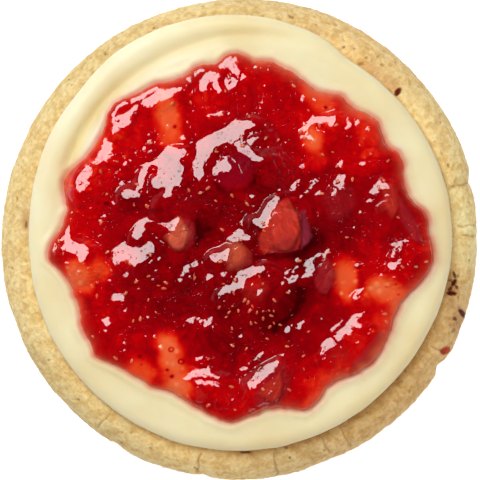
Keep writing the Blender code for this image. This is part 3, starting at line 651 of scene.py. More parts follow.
def jam_base(x, y):
    """The jam's height over the cream, without its shining places."""
    radius, angle = np.hypot(x, y), np.arctan2(y, x)
    reach = outline(JAM_OUTLINE, angle)
    inside = np.clip((reach - radius) / JAM_EDGE, 0.0, 1.0)
    rounding = np.sqrt(1 - (1 - inside) ** 2)
    domed = 1 - np.clip(radius / reach, 0, 1) ** 2
    body = JAM_RIM_THICKNESS + (JAM_THICKNESS - JAM_RIM_THICKNESS) * domed
    lifted = 0.30 * layered(flat_points(x, y, 8.5, 3.3), 5, 2)
    warped_x, warped_y = warped(x, y)
    for middle_x, middle_y, length, width, turn, height in LUMPS:
        u, v = turned(warped_x, warped_y, middle_x, middle_y, turn)
        lifted += height * np.clip(1 - ((u / length) ** 2 + (v / width) ** 2) / 1.6, 0, 1) ** 1.5
    for entry in FRUIT:
        u, v = turned(warped_x, warped_y, entry[0], entry[1], entry[5])
        square = (u / (0.62 * entry[2])) ** 2 + (v / (0.62 * entry[3])) ** 2
        lifted += 0.7 * FRUIT_SWELL * np.clip(1 - square / 1.6, 0, 1) ** 1.5
    return body + lifted, rounding, radius, angle


def facets_over(x, y, height, chains, levels, ragged=0.0):
    """The height with the shining places laid over it, and how far each point is inside one."""
    deepest = np.full_like(x, -9.0)
    for chain, level in zip(chains, levels):
        near = np.ones(len(x), dtype=bool)
        for axis, places in enumerate((x, y)):
            along = [disc[axis] for disc in chain]
            near &= (places > min(along) - FACET_REACH) & (places < max(along) + FACET_REACH)
        if not near.any():
            continue
        distance, towards = chain_distance(x[near], y[near], chain)
        distance += (0.55 - 0.45 * towards) * (ragged if np.isscalar(ragged) else ragged[near])
        plane = level + lean(x[near], y[near])
        height[near] = smooth_max(height[near], plane - fall(distance), 0.08)
        deepest[near] = np.maximum(deepest[near], -distance)
    return height, deepest


def facet_levels():
    """Each shining place starts level with what lies on its side to the light."""
    levels, small = [], []
    for chains, found in ((FACETS, levels), (GLINT_CHAINS, small)):
        for chain in chains:
            discs = np.array(chain)
            shifts = [share * discs[:, 2] for share in (-0.9, 0.0, 0.9)]
            x = np.concatenate([discs[:, 0] + shift * TOWARDS_LIGHT[0] for shift in shifts])
            y = np.concatenate([discs[:, 1] + shift * TOWARDS_LIGHT[1] for shift in shifts])
            height = jam_base(x, y)[0]
            for entry in FRUIT:
                height += fruit_cover(x, y, entry)
            height = facets_over(x, y, height, FACETS[: len(levels)], levels)[0]
            if chains is GLINT_CHAINS:
                height = facets_over(x, y, height, GLINT_CHAINS[: len(small)], small)[0]
            found.append(float(np.quantile(height - lean(x, y), 0.87)))
    return levels, small


def jam_surface(x, y, bumps=()):
    """Height of the jam's top, and how much of it is lump."""
    height, rounding, radius, angle = jam_base(x, y)
    flat = height.copy()
    ragged = 0.45 * perlin(flat_points(x, y, 1.3, 7.0), 221)
    ragged += 0.42 * perlin(flat_points(x, y, 0.65, 7.0), 223)
    ragged = ragged - 0.15 + 0.35 * perlin(flat_points(x, y, 3.0, 2.0), 227)
    height, deepest = facets_over(x, y, height, FACETS, FACET_LEVELS, ragged)
    height, dots = facets_over(x, y, height, GLINT_CHAINS, GLINT_LEVELS, 0.4 * ragged)
    calm = smoothstep(0.0, 0.5, np.maximum(deepest, dots))
    height += 0.030 * perlin(flat_points(x, y, 2.6, 1.7), 31)
    height += (1 - 0.6 * calm) * 0.028 * layered(flat_points(x, y, 1.15), 47, 2)
    height -= 0.07 * smoothstep(0.62, 0.95, perlin(flat_points(x, y, 0.85, 5.0), 53))
    thickness = JAM_EDGE_THICKNESS + (height - JAM_EDGE_THICKNESS) * rounding
    height = cream_top(radius, angle) + GAP + thickness
    for bump_x, bump_y, size, strength in bumps:
        near = beside(x, y, bump_x, bump_y, 2.5 * size)
        height[near] += strength * bell(np.hypot(x[near] - bump_x, y[near] - bump_y), size)
    return height, thickness - flat * rounding


GLINT_CHAINS = tuple(((x - 0.05, y, radius), (x + 0.05, y, radius)) for x, y, radius in GLINTS)
FACET_LEVELS, GLINT_LEVELS = facet_levels()


def make_piece(name, vertices, faces, tint, material, node=None):
    """A piece with a colour at each vertex. Where a node is named, it takes that node's place."""
    mesh = bpy.data.meshes.new(name)
    mesh.from_pydata((np.asarray(vertices) * MM).tolist(), [], faces)
    mesh.update()
    mesh.shade_smooth()
    mesh.materials.append(material)
    attribute = mesh.color_attributes.new("tint", "FLOAT_COLOR", "POINT")
    filled = np.ones((len(mesh.vertices), 4), dtype=np.float32)
    filled[:, :3] = tint
    attribute.data.foreach_set("color", filled.ravel())
    piece = bpy.data.objects.new(name, mesh)
    bpy.context.scene.collection.objects.link(piece)
    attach(piece, "root")
    if node:
        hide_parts(node)


def ring_faces(rings, segments):
    faces = []
    for ring in range(rings - 1):
        low, high = ring * segments, (ring + 1) * segments
        for segment in range(segments):
            following = (segment + 1) % segments
            faces.append((low + segment, low + following, high + following, high + segment))
    return faces


def solid_of_rings(points):
    """Vertices and faces of a closed solid: points is (rings, segments, 3), from its lower middle
    outwards and back in to its upper middle."""
    rings, segments, _ = points.shape
    faces = ring_faces(rings, segments)
    vertices = points.reshape(-1, 3)
    low, high = len(vertices), len(vertices) + 1
    middles = np.array((points[0].mean(axis=0), points[-1].mean(axis=0)))
    last = (rings - 1) * segments
    for segment in range(segments):
        following = (segment + 1) % segments
        faces.append((low, following, segment))
        faces.append((high, last + segment, last + following))
    return np.vstack((vertices, middles)), faces


# ---------------------------------------------------------------- materials


class Nodes:
    """Short names for adding and linking shader nodes."""

    def __init__(self, name):
        self.material = bpy.data.materials.new(name)
        self.material.use_nodes = True
        self.tree = self.material.node_tree
        self.shader = self.tree.nodes["Principled BSDF"]

    def add(self, kind, settings=None, **inputs):
        node = self.tree.nodes.new("ShaderNode" + kind)
        for key, value in (settings or {}).items():
            setattr(node, key, value)
        for key, value in inputs.items():
            self.put(node.inputs[key.replace("_", " ")], value)
        return node

    def put(self, socket, value):
        if isinstance(value, bpy.types.NodeSocket):
            self.tree.links.new(value, socket)
        else:
            socket.default_value = value

    def set(self, **inputs):
        for key, value in inputs.items():
            self.put(self.shader.inputs[key.replace("_", " ")], value)

    def colour(self, layer):
        return self.add("VertexColor", {"layer_name": layer}).outputs["Color"]

    def noise(self, scale, detail, rough=0.5, distortion=0.0):
        where = self.add("TexCoord").outputs["Object"]
        node = self.add("TexNoise", Vector=where, Scale=scale, Detail=detail)
        self.put(node.inputs["Roughness"], rough)
        self.put(node.inputs["Distortion"], distortion)
        return node.outputs["Fac"]

    def veil(self, value, low, high, strength):
        """A share that rises from nothing to the strength between two values."""
        return self.ramp(value, ((low, grey(0.0)), (high, grey(strength))))

    def ramp(self, value, stops):
        node = self.add("ValToRGB", Fac=value)
        elements = node.color_ramp.elements
        while len(elements) < len(stops):
            elements.new(0.5)
        for element, (position, colour) in zip(elements, stops):
            element.position = position
            element.color = (*colour, 1.0)
        return node.outputs["Color"]

    def mix(self, share, first, second, blend="MIX"):
        node = self.add("Mix", {"data_type": "RGBA", "blend_type": blend})
        self.put(node.inputs[0], share)
        self.put(node.inputs[6], first)
        self.put(node.inputs[7], second)
        return node.outputs[2]

    def math(self, operation, first, second):
        node = self.add("Math", {"operation": operation})
        self.put(node.inputs[0], first)
        self.put(node.inputs[1], second)
        return node.outputs[0]

    def bump(self, height, distance, strength=1.0, normal=None):
        node = self.add("Bump", Height=height, Strength=strength, Distance=distance)
        if normal:
            self.put(node.inputs["Normal"], normal)
        return node.outputs["Normal"]


def grey(value):
    return (value, value, value)


def dough_material():
    nodes = Nodes("baked_dough")
    crumb = nodes.noise(1100, 4, 0.65)
    mottle = nodes.noise(430, 3, 0.6, 0.5)
    blotch = nodes.noise(150, 3, 0.6)
    pale, golden, brown = (0.95, 0.79, 0.41), (0.85, 0.61, 0.235), (0.66, 0.42, 0.145)
    colour = nodes.ramp(mottle, ((0.40, brown), (0.48, golden), (0.56, pale)))
    colour = nodes.mix(0.35, colour, nodes.ramp(blotch, ((0.38, golden), (0.6, pale))))
    colour = nodes.mix(0.35, colour, nodes.ramp(crumb, ((0.38, brown), (0.5, golden), (0.60, pale))))
    colour = nodes.mix(1.0, colour, nodes.colour("tint"), "MULTIPLY")
    height = nodes.math("ADD", nodes.math("MULTIPLY", crumb, 0.5), mottle)
    nodes.set(
        Base_Color=colour,
        Roughness=0.8,
        Subsurface_Weight=0.15,
        Subsurface_Scale=0.002,
        Subsurface_Radius=(1.0, 0.6, 0.3),
        Specular_IOR_Level=0.25,
        Normal=nodes.bump(height, 0.0005, 0.8),
    )
    return nodes.material


def cream_material():
    nodes = Nodes("whipped_cream")
    fine = nodes.noise(260, 3, 0.55)
    clouds = nodes.veil(nodes.noise(70, 2), 0.35, 0.7, 0.35)
    colour = nodes.mix(clouds, nodes.colour("tint"), (0.80, 0.66, 0.38, 1), "MULTIPLY")
    nodes.set(
        Base_Color=colour,
        Roughness=0.42,
        Subsurface_Weight=0.45,
        Subsurface_Scale=0.004,
        Subsurface_Radius=(1.0, 0.8, 0.5),
        Specular_IOR_Level=0.35,
        Normal=nodes.bump(fine, 0.00025, 0.5),
    )
    return nodes.material


def jam_material():
    nodes = Nodes("strawberry_jam")
    pulp = nodes.noise(420, 3, 0.6, 0.6)
    groups = nodes.math("MULTIPLY", nodes.noise(160, 2), 0.5)
    specks = nodes.veil(nodes.math("ADD", nodes.noise(1300, 1), groups), 0.95, 1.0, 1.0)
    wet = nodes.bump(specks, 0.00004, 1.0, nodes.bump(pulp, 0.00004, 0.4))
    darker = nodes.veil(pulp, 0.40, 0.72, 0.35)
    colour = nodes.mix(darker, nodes.colour("tint"), (0.75, 0.60, 0.6, 1), "MULTIPLY")
    nodes.set(
        Base_Color=colour,
        Roughness=0.5,
        Subsurface_Weight=0.25,
        Subsurface_Scale=0.003,
        Subsurface_Radius=(1.0, 0.12, 0.06),
        Coat_Weight=1.0,
        Coat_Roughness=0.03,
        Coat_IOR=1.65,
        Specular_IOR_Level=0.0,
        Normal=wet,
        Coat_Normal=wet,
    )
    return nodes.material


def fruit_material():
    nodes = Nodes("strawberry_flesh")
    fibres = nodes.noise(300, 3, 0.6, 1.2)
    streaked = nodes.mix(nodes.veil(fibres, 0.38, 0.7, 0.45), nodes.colour("tint"), (0.95, 0.40, 0.26, 1))
    nodes.set(
        Base_Color=nodes.mix(0.12, nodes.colour("tint"), streaked),
        Roughness=0.5,
        Subsurface_Weight=0.35,
        Subsurface_Scale=0.003,
        Subsurface_Radius=(1.0, 0.25, 0.15),
        Coat_Weight=1.0,
        Coat_Roughness=0.04,
        Specular_IOR_Level=0.0,
        Normal=nodes.bump(fibres, 0.00005, 0.5),
    )
    return nodes.material


def seed_material():
    nodes = Nodes("strawberry_seed")
    nodes.set(
        Base_Color=nodes.colour("tint"),
        Roughness=0.3,
        Coat_Weight=1.0,
        Coat_Roughness=0.06,
        Subsurface_Weight=0.3,
        Subsurface_Scale=0.0008,
    )
    return nodes.material


def floor_material():
    nodes = Nodes("floor")
    nodes.set(
        Base_Color=(0.3, 0.3, 0.3, 1),
        Roughness=0.9,
        Emission_Color=(1, 1, 1, 1),
        Emission_Strength=0.93,
    )
    return nodes.material


# ---------------------------------------------------------------- the pieces


def polar(radii, heights, angles):
    """Points from radii and heights, each (rings, segments)."""
    return np.stack((radii * np.cos(angles), radii * np.sin(angles), heights), axis=-1)


def ring_angles(segments):
    return np.arange(segments) * 2 * math.pi / segments


def cookie_rings(angles):
    """Radii and heights of the dough's rings, and how far its surface faces outwards and upwards there."""
    edge = outline(COOKIE_OUTLINE, angles)
    quarter, power = math.pi / 2, 2 / COOKIE_ROUNDNESS
    level = np.ones(len(angles))
    radii, heights, outward, upward = [], [], [], []

    def add(radius, height, out, up):
        radii.append(radius * level)
        heights.append(height * level)
        outward.append(out)
        upward.append(up)

    for radius in (12, 24, 36, 44, 49):
        add(radius, 0.0, 0.0, 0.0)
    for turn in np.linspace(0, quarter, 12)[:-1]:
        inset = COOKIE_FOOT_INSET * (1 - math.sin(turn))
        add(edge - inset, COOKIE_WIDEST_AT * (1 - math.cos(turn)), math.sin(turn), -0.5 * math.cos(turn))
    for turn in np.linspace(0, quarter, 44):
        inset = COOKIE_SHOULDER * (1 - max(math.cos(turn), 0.0) ** power)
        height = COOKIE_WIDEST_AT + (COOKIE_HEIGHT - COOKIE_WIDEST_AT) * math.sin(turn) ** power
        add(edge - inset, height, math.cos(turn), math.sin(turn))
    for radius in (47.5, 46.5, 45.0, 40.0, 20.0):
        add(radius, COOKIE_HEIGHT, 0.0, 0.0 if radius < 45.5 else 1.0)
    return np.array(radii), np.array(heights), np.array(outward)[:, None], np.array(upward)[:, None]


def dough_cracks(x, y, bearings, across):
    """The fine cracks, and the paler ledges beside them."""
    cracks, ledges = np.zeros(len(x)), np.zeros(len(x))
    reach = np.hypot(x, y)
    for bearing, inner, outer in CRACKS:
        off = np.radians(apart(bearings, bearing)) * COOKIE_RADIUS + 0.5 * across
        along = smoothstep(inner - 0.5, inner + 0.5, reach) * (1 - smoothstep(outer, outer + 1, reach))
        cracks += bell(off, 0.22) * along
        ledges += bell(off + 1.1, 0.9) * along
    return cracks, ledges


def dough_stains(x, y, across):
    """Burnt crumbs, brownish smears and the drip of jam."""
    spots, smears = np.zeros(len(x)), np.zeros(len(x))
    for spot_x, spot_y, length, width, turn, strength in SPOTS:
        u, v = turned(x, y, spot_x, spot_y, turn)
        square = (u / length) ** 2 + (v / width) ** 2 + 0.6 * across
        spots = np.maximum(spots, strength * (1 - smoothstep(0.5, 1.3, square)))
    for spot_x, spot_y, length, width, turn, strength in SMEARS:
        u, v = turned(x, y, spot_x, spot_y, turn)
        smears += strength * bell(np.hypot(u / length, v / width), 1.0 + 0.4 * across)
    drip_x, drip_y, length, width, turn = JAM_DRIP
    u, v = turned(x, y, drip_x, drip_y, turn)
    drip = 1 - smoothstep(0.5, 1.2, (u / length) ** 2 + (v / width) ** 2 + 0.3 * across)
    return spots, smears, drip


def make_cookie():
    angles = ring_angles(COOKIE_SEGMENTS)
    radii, heights, outward, upward = cookie_rings(angles)
    points = polar(radii, heights, angles)
    flat = points.reshape(-1, 3)
    lumps = layered(flat / 4.5, 71, 3, 0.6).reshape(radii.shape)
    crumbs = layered(flat / 1.3, 83, 3, 0.65).reshape(radii.shape)
    pits = smoothstep(0.62, 0.95, layered(flat / 1.9, 97, 2)).reshape(radii.shape)
    x, y, bearings = flat[:, 0], flat[:, 1], np.degrees(np.tile(angles, len(radii)))
    across = perlin(flat_points(x, y, 2.0), 87)
    cracks, ledges = dough_cracks(x, y, bearings, across)
    spots, smears, drip = dough_stains(x, y, across)
    hollow = (0.5 * cracks + 0.2 * spots - 0.4 * drip).reshape(radii.shape)
    rough = 0.15 * lumps + 0.13 * crumbs - 0.45 * pits - 0.5 * hollow
    under_cream = smoothstep(46.0, 48.5, radii) * smoothstep(0.0, 1.2, heights)
    sideways = outward * np.cos(angles), outward * np.sin(angles)
    direction = np.stack((*sideways, upward * np.ones(len(angles))), axis=-1)
    headroom = np.where(heights > COOKIE_HEIGHT - 0.35, np.minimum(rough, 0.15), rough)
    points = points + direction * (headroom * under_cream)[..., None]
    points[..., 2] = np.maximum(points[..., 2], 0.0)
    vertices, faces = solid_of_rings(points)

    # Paler and redder by bearing: partly baking, partly painted shade round the edge.
    paler = sum_of_bells(bearings, [(bearing, pale, width) for bearing, pale, _, width in BAKED_AND_SHADED])
    redder = sum_of_bells(bearings, [(bearing, red, width) for bearing, _, red, width in BAKED_AND_SHADED])
    mottled = 1 + paler * (1 + 0.3 * across) + 0.07 * np.clip(crumbs.ravel(), -1, 1)
    colour = mottled[:, None] * (1 + redder[:, None] * np.array((0.9, -0.5, -1.2)))
    past_cream = np.hypot(x, y) - outline(CREAM_OUTLINE, np.radians(bearings))
    # Painted shadow of the cream on the dough beside it, strongest on the side away from the softbox.
    far_side = 0.15 + 0.85 * bell(apart(bearings, 305), 55)
    cream_shadow = bell(np.clip(past_cream, 0, None), 1.8 + 0.5 * across) * far_side
    # Pits and cracks are darkened with painted shade in those hollows; smears, spots and the drip are real
    # stains.
    for share, stained in (
        (0.8 * pits.ravel(), HOLLOW_SHADE_BROWN),
        (0.75 * cracks, HOLLOW_SHADE_BROWN),
        (0.95 * cream_shadow, CREAM_SHADOW_BROWN),
        (smears, SMEAR_BROWN),
        (spots, SPOT_MAROON),
        (drip, DRIP_RED),
    ):
        colour *= 1 - np.clip(share, 0, 1)[:, None] * (1 - np.array(stained))
    colour *= 1 + ledges[:, None] * np.array((0.08, 0.11, 0.18))
    low = 1 - smoothstep(0.5, 9.0, heights.ravel())
    colour *= 1 - low[:, None] * np.array((0.14, 0.26, 0.38))
    underside = heights.ravel() < 0.4
    colour[underside] = np.array(UNDERSIDE_BROWN) * mottled[underside][:, None]
    tint = np.ones((len(vertices), 3))
    tint[: len(colour)] = colour
    make_piece("cookie_dough", vertices, faces, tint, dough_material(), "cookie")


def cream_rings(angles):
    """Radii and heights of the cream's rings, from its underside round its belly and over its top."""
    edge, jam_edge = outline(CREAM_OUTLINE, angles), outline(JAM_OUTLINE, angles)
    level = np.ones(len(angles))
    radii, heights = [20.0 * level, edge - CREAM_UNDERCUT - 2], [CREAM_UNDERSIDE * level] * 2
    for share in np.linspace(0, 1, 9)[:-1]:
        bulge = math.sin(share * math.pi / 2)
        radii.append(edge - CREAM_UNDERCUT * (1 - bulge) ** 1.6)
        heights.append((CREAM_UNDERSIDE + (CREAM_BELLY - CREAM_UNDERSIDE) * share) * level)
    inner = np.minimum(jam_edge - 1.2, edge - CREAM_EDGE - 1)
    over = [edge - CREAM_EDGE * share**1.8 for share in np.linspace(0, 1, 15)[:-1]]
    over += [(edge - CREAM_EDGE) * (1 - share) + inner * share for share in np.linspace(0, 1, 40)]
    over += [share * inner for share in (0.8, 0.5, 0.2)]
    heights += [cream_top(radius, angles) for radius in over]
    return np.array(radii + over), np.array(heights)


def cream_colour(past_jam, past_edge, radius, bearing, noise_at):
    """Cream stained by the jam, with painted shade in the fold of the swirl, a painted shadow of the jam
    and a warmer painted shade on the side away from the softbox, and painted light on the swirl's lit side.
    """
    # The jam's stain, wider on the side away from the softbox, where it is partly painted light coming
    # through the jam.
    far_side = 0.95 + 0.35 * bell(apart(bearing, 345), 60)
    stain = bell(np.clip(past_jam, 0, None), 0.9 * far_side) * 0.75
    stain += 0.10 * bell(np.clip(past_jam, 0, None), 2.0) * far_side
    stain = np.clip(stain * (0.75 + 0.5 * noise_at), 0, 1)
    colour = ramp_colour(stain, CREAM_RAMP)
    # Painted shade in the fold of the swirl's groove, darker and yellower.
    past = past_groove(radius, np.radians(bearing))
    deep = np.clip(sum_of_bells(bearing, GROOVE_DEPTHS) / 1.6, 0, 1)
    fold = bell(past, np.where(past < 0, 1.2, 2.9)) * deep
    fold *= 1 - 0.7 * smoothstep(152, 172, bearing)
    colour *= 1 - fold[:, None] * np.array((0.04, 0.11, 0.27))
    # Painted shadow of the jam on the cream beside it, on the side away from the softbox.
    colour *= 1 - 0.18 * (bell(past_jam - 0.8, 0.9) * bell(apart(bearing, 350), 38))[:, None]
    # Painted light: the cream is whiter on the side of the swirl towards the softbox, outside its fold.
    swirl = bell(bearing - 137, 36) * (1 - fold)
    colour *= 1 + swirl[:, None] * np.array((0.02, 0.04, 0.16))
    # A warmer painted shade on the cream's outer edge, on the side away from the softbox.
    outer = bell(np.clip(past_edge, 0, None), 3.2) * bell(apart(bearing, 310), 70)
    return colour * (1 + outer[:, None] * np.array((0.04, -0.05, -0.12)))


def make_cream():
    angles = ring_angles(CREAM_SEGMENTS)
    radii, heights = cream_rings(angles)
    points = polar(radii, heights, angles)
    flat = points.reshape(-1, 3)
    around = 3.0 * np.tile(angles, len(radii))
    strokes = 0.10 * perlin(long_points(np.hypot(flat[:, 0], flat[:, 1]), around, 2.6, 1.0), 15)
    waves = 0.16 * perlin(flat / 9.0, 19) + 0.05 * perlin(flat / 2.6, 29)
    on_top = smoothstep(CREAM_BELLY - 0.6, CREAM_BELLY + 1.6, heights)
    points[..., 2] += (strokes + waves).reshape(radii.shape) * on_top
    side = (1 - on_top) * smoothstep(COOKIE_HEIGHT, CREAM_BELLY, heights)
    push = 0.22 * perlin(flat / 5.0, 37).reshape(radii.shape) * side
    points[..., 0] += push * np.cos(angles)
    points[..., 1] += push * np.sin(angles)
    vertices, faces = solid_of_rings(points)
    past_jam = (radii - outline(JAM_OUTLINE, angles)).ravel()
    past_edge = (outline(CREAM_OUTLINE, angles) - radii).ravel()
    bearing = np.degrees(np.tile(angles, len(radii)))
    colour = cream_colour(past_jam, past_edge, radii.ravel(), bearing, perlin(flat / 4.0, 43))
    tint = np.ones((len(vertices), 3)) * PLAIN_CREAM
    tint[: len(colour)] = np.minimum(colour, 0.98)
    make_piece("cream_disc", vertices, faces, tint, cream_material(), "cream")


def ramp_colour(value, stops):
    places = [stop[0] for stop in stops]
    return np.stack([np.interp(value, places, [stop[1][i] for stop in stops]) for i in range(3)], axis=-1)


def jam_depth(x, y, lifted):
    """How dark the jam looks: 0 where light comes back from just under it, 1 where it is deep."""
    radius, angle = np.hypot(x, y), np.arctan2(y, x)
    reach = outline(JAM_OUTLINE, angle)
    inside = reach - radius
    sideways = 1.0 - 0.12 * smoothstep(0.0, 30.0, -x)
    depth = 0.52 + 0.36 * smoothstep(5.0, 24.0, inside) * sideways
    depth += 0.13 * layered(flat_points(x, y, 7.5, 9.1), 61, 2)
    depth += 0.03 * layered(flat_points(x, y, 2.2, 4.1), 67, 2)
    wide = flat_points(x, y, 8.0, 5.0)
    bent_x, bent_y = x + 7.0 * perlin(wide, 221), y + 7.0 * perlin(wide, 223)
    depth += 0.13 * layered(long_points(bent_x, bent_y, 2.2, 1.1), 225, 3)
    depth += 0.06 * smoothstep(0.6, 2.4, lifted)
    warped_x, warped_y = warped(x, y)
    for size, seed, strength in ((5.2, 301, 0.22), (2.3, 303, 0.10)):
        border, own = cells(warped_x, warped_y, size, seed)
        depth += strength * ((own - 0.5) * smoothstep(0.0, 0.25, border) + 0.35 * bell(border, 0.13))
    for middle_x, middle_y, size, amount in TONES:
        depth += amount * bell(np.hypot(x - middle_x, y - middle_y), size)
    fine = 0.12 * perlin(flat_points(x, y, 1.4, 2.0), 79)
    for middle_x, middle_y, length, width, turn, strength in PALE_PLACES:
        u, v = turned(x, y, middle_x, middle_y, turn)
        square = (u / length) ** 2 + (v / width) ** 2
        wander = 0.35 * perlin(flat_points(x, y, 3.6, middle_x), 73) + fine
        share = strength * (1 - smoothstep(0.0, 1.5, square + wander))
        depth = depth * (1 - share) + 0.06 * share
    depth *= smoothstep(-0.5, 0.7, inside)
    broken = 0.45 + 0.55 * smoothstep(-0.4, 0.2, perlin(flat_points(x, y, 0.8), 91))
    for middle_x, middle_y, size, ring in MARKS:
        far = np.hypot(x - middle_x, 1.25 * (y - middle_y))
        depth += 0.9 * bell(far - ring, size) * broken
    return np.clip(depth, 0, MOST_DEPTH)


def inside_corners(x, y, corners):
    """How far a place is inside the sides of a piece, negative outside it."""
    distance = np.full_like(x, 99.0)
    for (ax, ay), (bx, by) in zip(corners, corners[1:] + corners[:1]):
        side = math.hypot(bx - ax, by - ay)
        distance = smooth_min(distance, ((bx - ax) * (y - ay) - (by - ay) * (x - ax)) / side, 0.5)
    return distance


def film_colour(x, y, depth):
    """The colour of the jam, with the pieces of fruit in it, a painted shadow beside each piece and the
    thin pale film at its rim.
    """
    warped_x, warped_y = pushed_about(x, y, (3.0, 0.5), (0.9, 0.22), 211)
    for crease in CREASES:
        line = [(*point, 0.0) for point in crease]
        away = np.maximum(chain_distance(warped_x, warped_y, line)[0], 0)
        depth = depth + 0.32 * bell(away, 0.6)
    colour = ramp_colour(np.clip(depth, 0, MOST_DEPTH), JAM_RAMP)
    for flesh, strength, bearing, corners in PIECES:
        inner = inside_corners(warped_x, warped_y, corners)
        # Painted shadow of each piece on the jam beside it, on the side away from the softbox.
        shadow_reach = inside_corners(warped_x + 0.7 * TOWARDS_LIGHT[0], warped_y + 0.7 * TOWARDS_LIGHT[1], corners)
        colour = colour * (1 - 0.6 * strength**2 * smoothstep(-0.6, 0.4, shadow_reach))[:, None]
        u, v = turned(warped_x, warped_y, 0.0, 0.0, bearing)
        fibres = 0.6 * perlin(long_points(u, v, 4.0, 0.75), 131)
        fibres = fibres + 0.4 * perlin(long_points(u, v, 2.0, 0.35), 133)
        bright = np.clip(1.0 + 0.30 * fibres, 0.6, 1.4)[:, None]
        bloom = np.array((0.2, 0.8, 0.7)) * np.clip(fibres, 0, 1)[:, None]
        soft = 0.35 + 1.3 * (1 - strength)
        share = (strength * smoothstep(-soft, soft, inner))[:, None]
        colour = colour * (1 - share) + np.array(flesh) * (bright + bloom) * share
    inside = outline(JAM_OUTLINE, np.arctan2(y, x)) - np.hypot(x, y)
    patchy = 0.8 + 0.6 * perlin(flat_points(x, y, 3.0), 219)
    where = sum_of_bells(np.degrees(np.arctan2(y, x)) % 360, THIN_RIM) * patchy
    thin = 0.2 * bell(inside - 0.3, 0.6) + where * bell(np.clip(inside - 0.3, 0, None), 1.5)
    thin = np.clip(thin, 0, 0.85)[:, None]
    return colour * (1 - thin) + FILM * thin


def disc_grid(count):
    """A square grid wrapped into a unit disc, with its faces and its rim in order."""
    line = np.linspace(-1, 1, count)
    a, b = np.meshgrid(line, line, indexing="ij")
    wide = np.abs(a) >= np.abs(b)
    safe_a, safe_b = np.where(a == 0, 1e-12, a), np.where(b == 0, 1e-12, b)
    radius = np.where(wide, a, b)
    angle = np.where(wide, math.pi / 4 * b / safe_a, math.pi / 2 - math.pi / 4 * a / safe_b)
    x, y = radius * np.cos(angle), radius * np.sin(angle)
    index = np.arange(count * count).reshape(count, count)
    squares = index[:-1, :-1], index[1:, :-1], index[1:, 1:], index[:-1, 1:]
    faces = np.stack(squares, axis=-1).reshape(-1, 4)
    rim = np.concatenate((index[:-1, 0], index[-1, :-1], index[:0:-1, -1], index[0, :0:-1]))
    return x.ravel(), y.ravel(), faces.tolist(), rim


def seed_places(count, draw, taken=()):
    """Places spread over the jam: x, y, how far the seed is sunk (0 on top, 1 nearly covered)."""
    places = []
    while len(places) < count:
        angle, share = draw.uniform(0, 2 * math.pi), draw.random() ** 0.56
        radius = 0.975 * share * float(outline(JAM_OUTLINE, np.array([angle]))[0])
        x, y = radius * math.cos(angle), radius * math.sin(angle)
        spacing = draw.uniform(0.8, 2.2)
        if any(math.hypot(x - other[0], y - other[1]) < spacing for other in (*places, *taken)):
            continue
        if any(math.hypot(x - piece[0], y - piece[1]) < 0.30 * piece[3] for piece in FRUIT):
            continue
        places.append((x, y, draw.random()))
    return places


def patch_places(draw, taken):
    """Seeds that lie closer together on the pieces of skin."""
    places = []
    for middle_x, middle_y, length, width, turn, count in SEED_PATCHES:
        found = 0
        while found < count:
            angle, share = draw.uniform(0, 2 * math.pi), math.sqrt(draw.random())
            u, v = length * share * math.cos(angle), width * share * math.sin(angle)
            cosine, sine = math.cos(math.radians(turn)), math.sin(math.radians(turn))
            x, y = middle_x + u * cosine - v * sine, middle_y + u * sine + v * cosine
            if all(math.hypot(x - other[0], y - other[1]) > 0.85 for other in (*places, *taken)):
                places.append((x, y, draw.uniform(0.5, 1.0)))
                found += 1
    return places


def make_jam(seeds, hidden):
    x, y, faces, rim = disc_grid(JAM_GRID)
    angle = np.arctan2(y, x)
    reach = outline(JAM_OUTLINE, angle)
    x, y = x * reach, y * reach
    bumps = [(bx, by, 0.55, 0.08 + 0.10 * (1 - sunk)) for bx, by, sunk in seeds]
    bumps += [(bx, by, 0.26 + 0.2 * sunk, 0.09) for bx, by, sunk in hidden]
    bumps += BUBBLES
    height, lifted = jam_surface(x, y, bumps)
    top = np.stack((x, y, height), axis=-1)
    rim_low = top[rim].copy()
    rim_angle = angle[rim]
    rim_low[:, 2] = cream_top(reach[rim], rim_angle) - 0.15
    inner = rim_low * np.array((0.93, 0.93, 1.0))
    vertices = np.vstack((top, rim_low, inner, inner.mean(axis=0)[None]))
    low, deep, middle = len(top), len(top) + len(rim), len(top) + 2 * len(rim)
    for i in range(len(rim)):
        j = (i + 1) % len(rim)
        faces.append((int(rim[j]), int(rim[i]), low + i, low + j))
        faces.append((low + j, low + i, deep + i, deep + j))
        faces.append((deep + j, deep + i, middle))
    tint = np.zeros((len(vertices), 3))
    depth = jam_depth(x, y, lifted)
    for bx, by, sunk in hidden:
        near = beside(x, y, bx, by, 1.5)
        depth[near] -= 0.32 * sunk**2 * bell(np.hypot(x[near] - bx, y[near] - by), 0.42)
    tint[: len(top)] = film_colour(x, y, np.clip(depth, 0, MOST_DEPTH))
    tint[len(top) :] = (0.7, 0.15, 0.06)
    make_piece("jam_pool", vertices, faces, tint, jam_material(), "jam")


def unit_sphere(divisions):
    mesh = bpy.data.meshes.new("sphere")
    maker = bmesh.new()
    bmesh.ops.create_icosphere(maker, subdivisions=divisions, radius=1.0)
    maker.to_mesh(mesh)
    maker.free()
    points = np.array([vertex.co[:] for vertex in mesh.vertices])
    faces = np.array([face.vertices[:] for face in mesh.polygons])
    bpy.data.meshes.remove(mesh)
    return points, faces


def turn_matrix(x, y, z):
    cx, sx, cy, sy, cz, sz = math.cos(x), math.sin(x), math.cos(y), math.sin(y), math.cos(z), math.sin(z)
    about_x = np.array(((1, 0, 0), (0, cx, -sx), (0, sx, cx)))
    about_y = np.array(((cy, 0, sy), (0, 1, 0), (-sy, 0, cy)))
    about_z = np.array(((cz, -sz, 0), (sz, cz, 0), (0, 0, 1)))
    return about_z @ about_y @ about_x


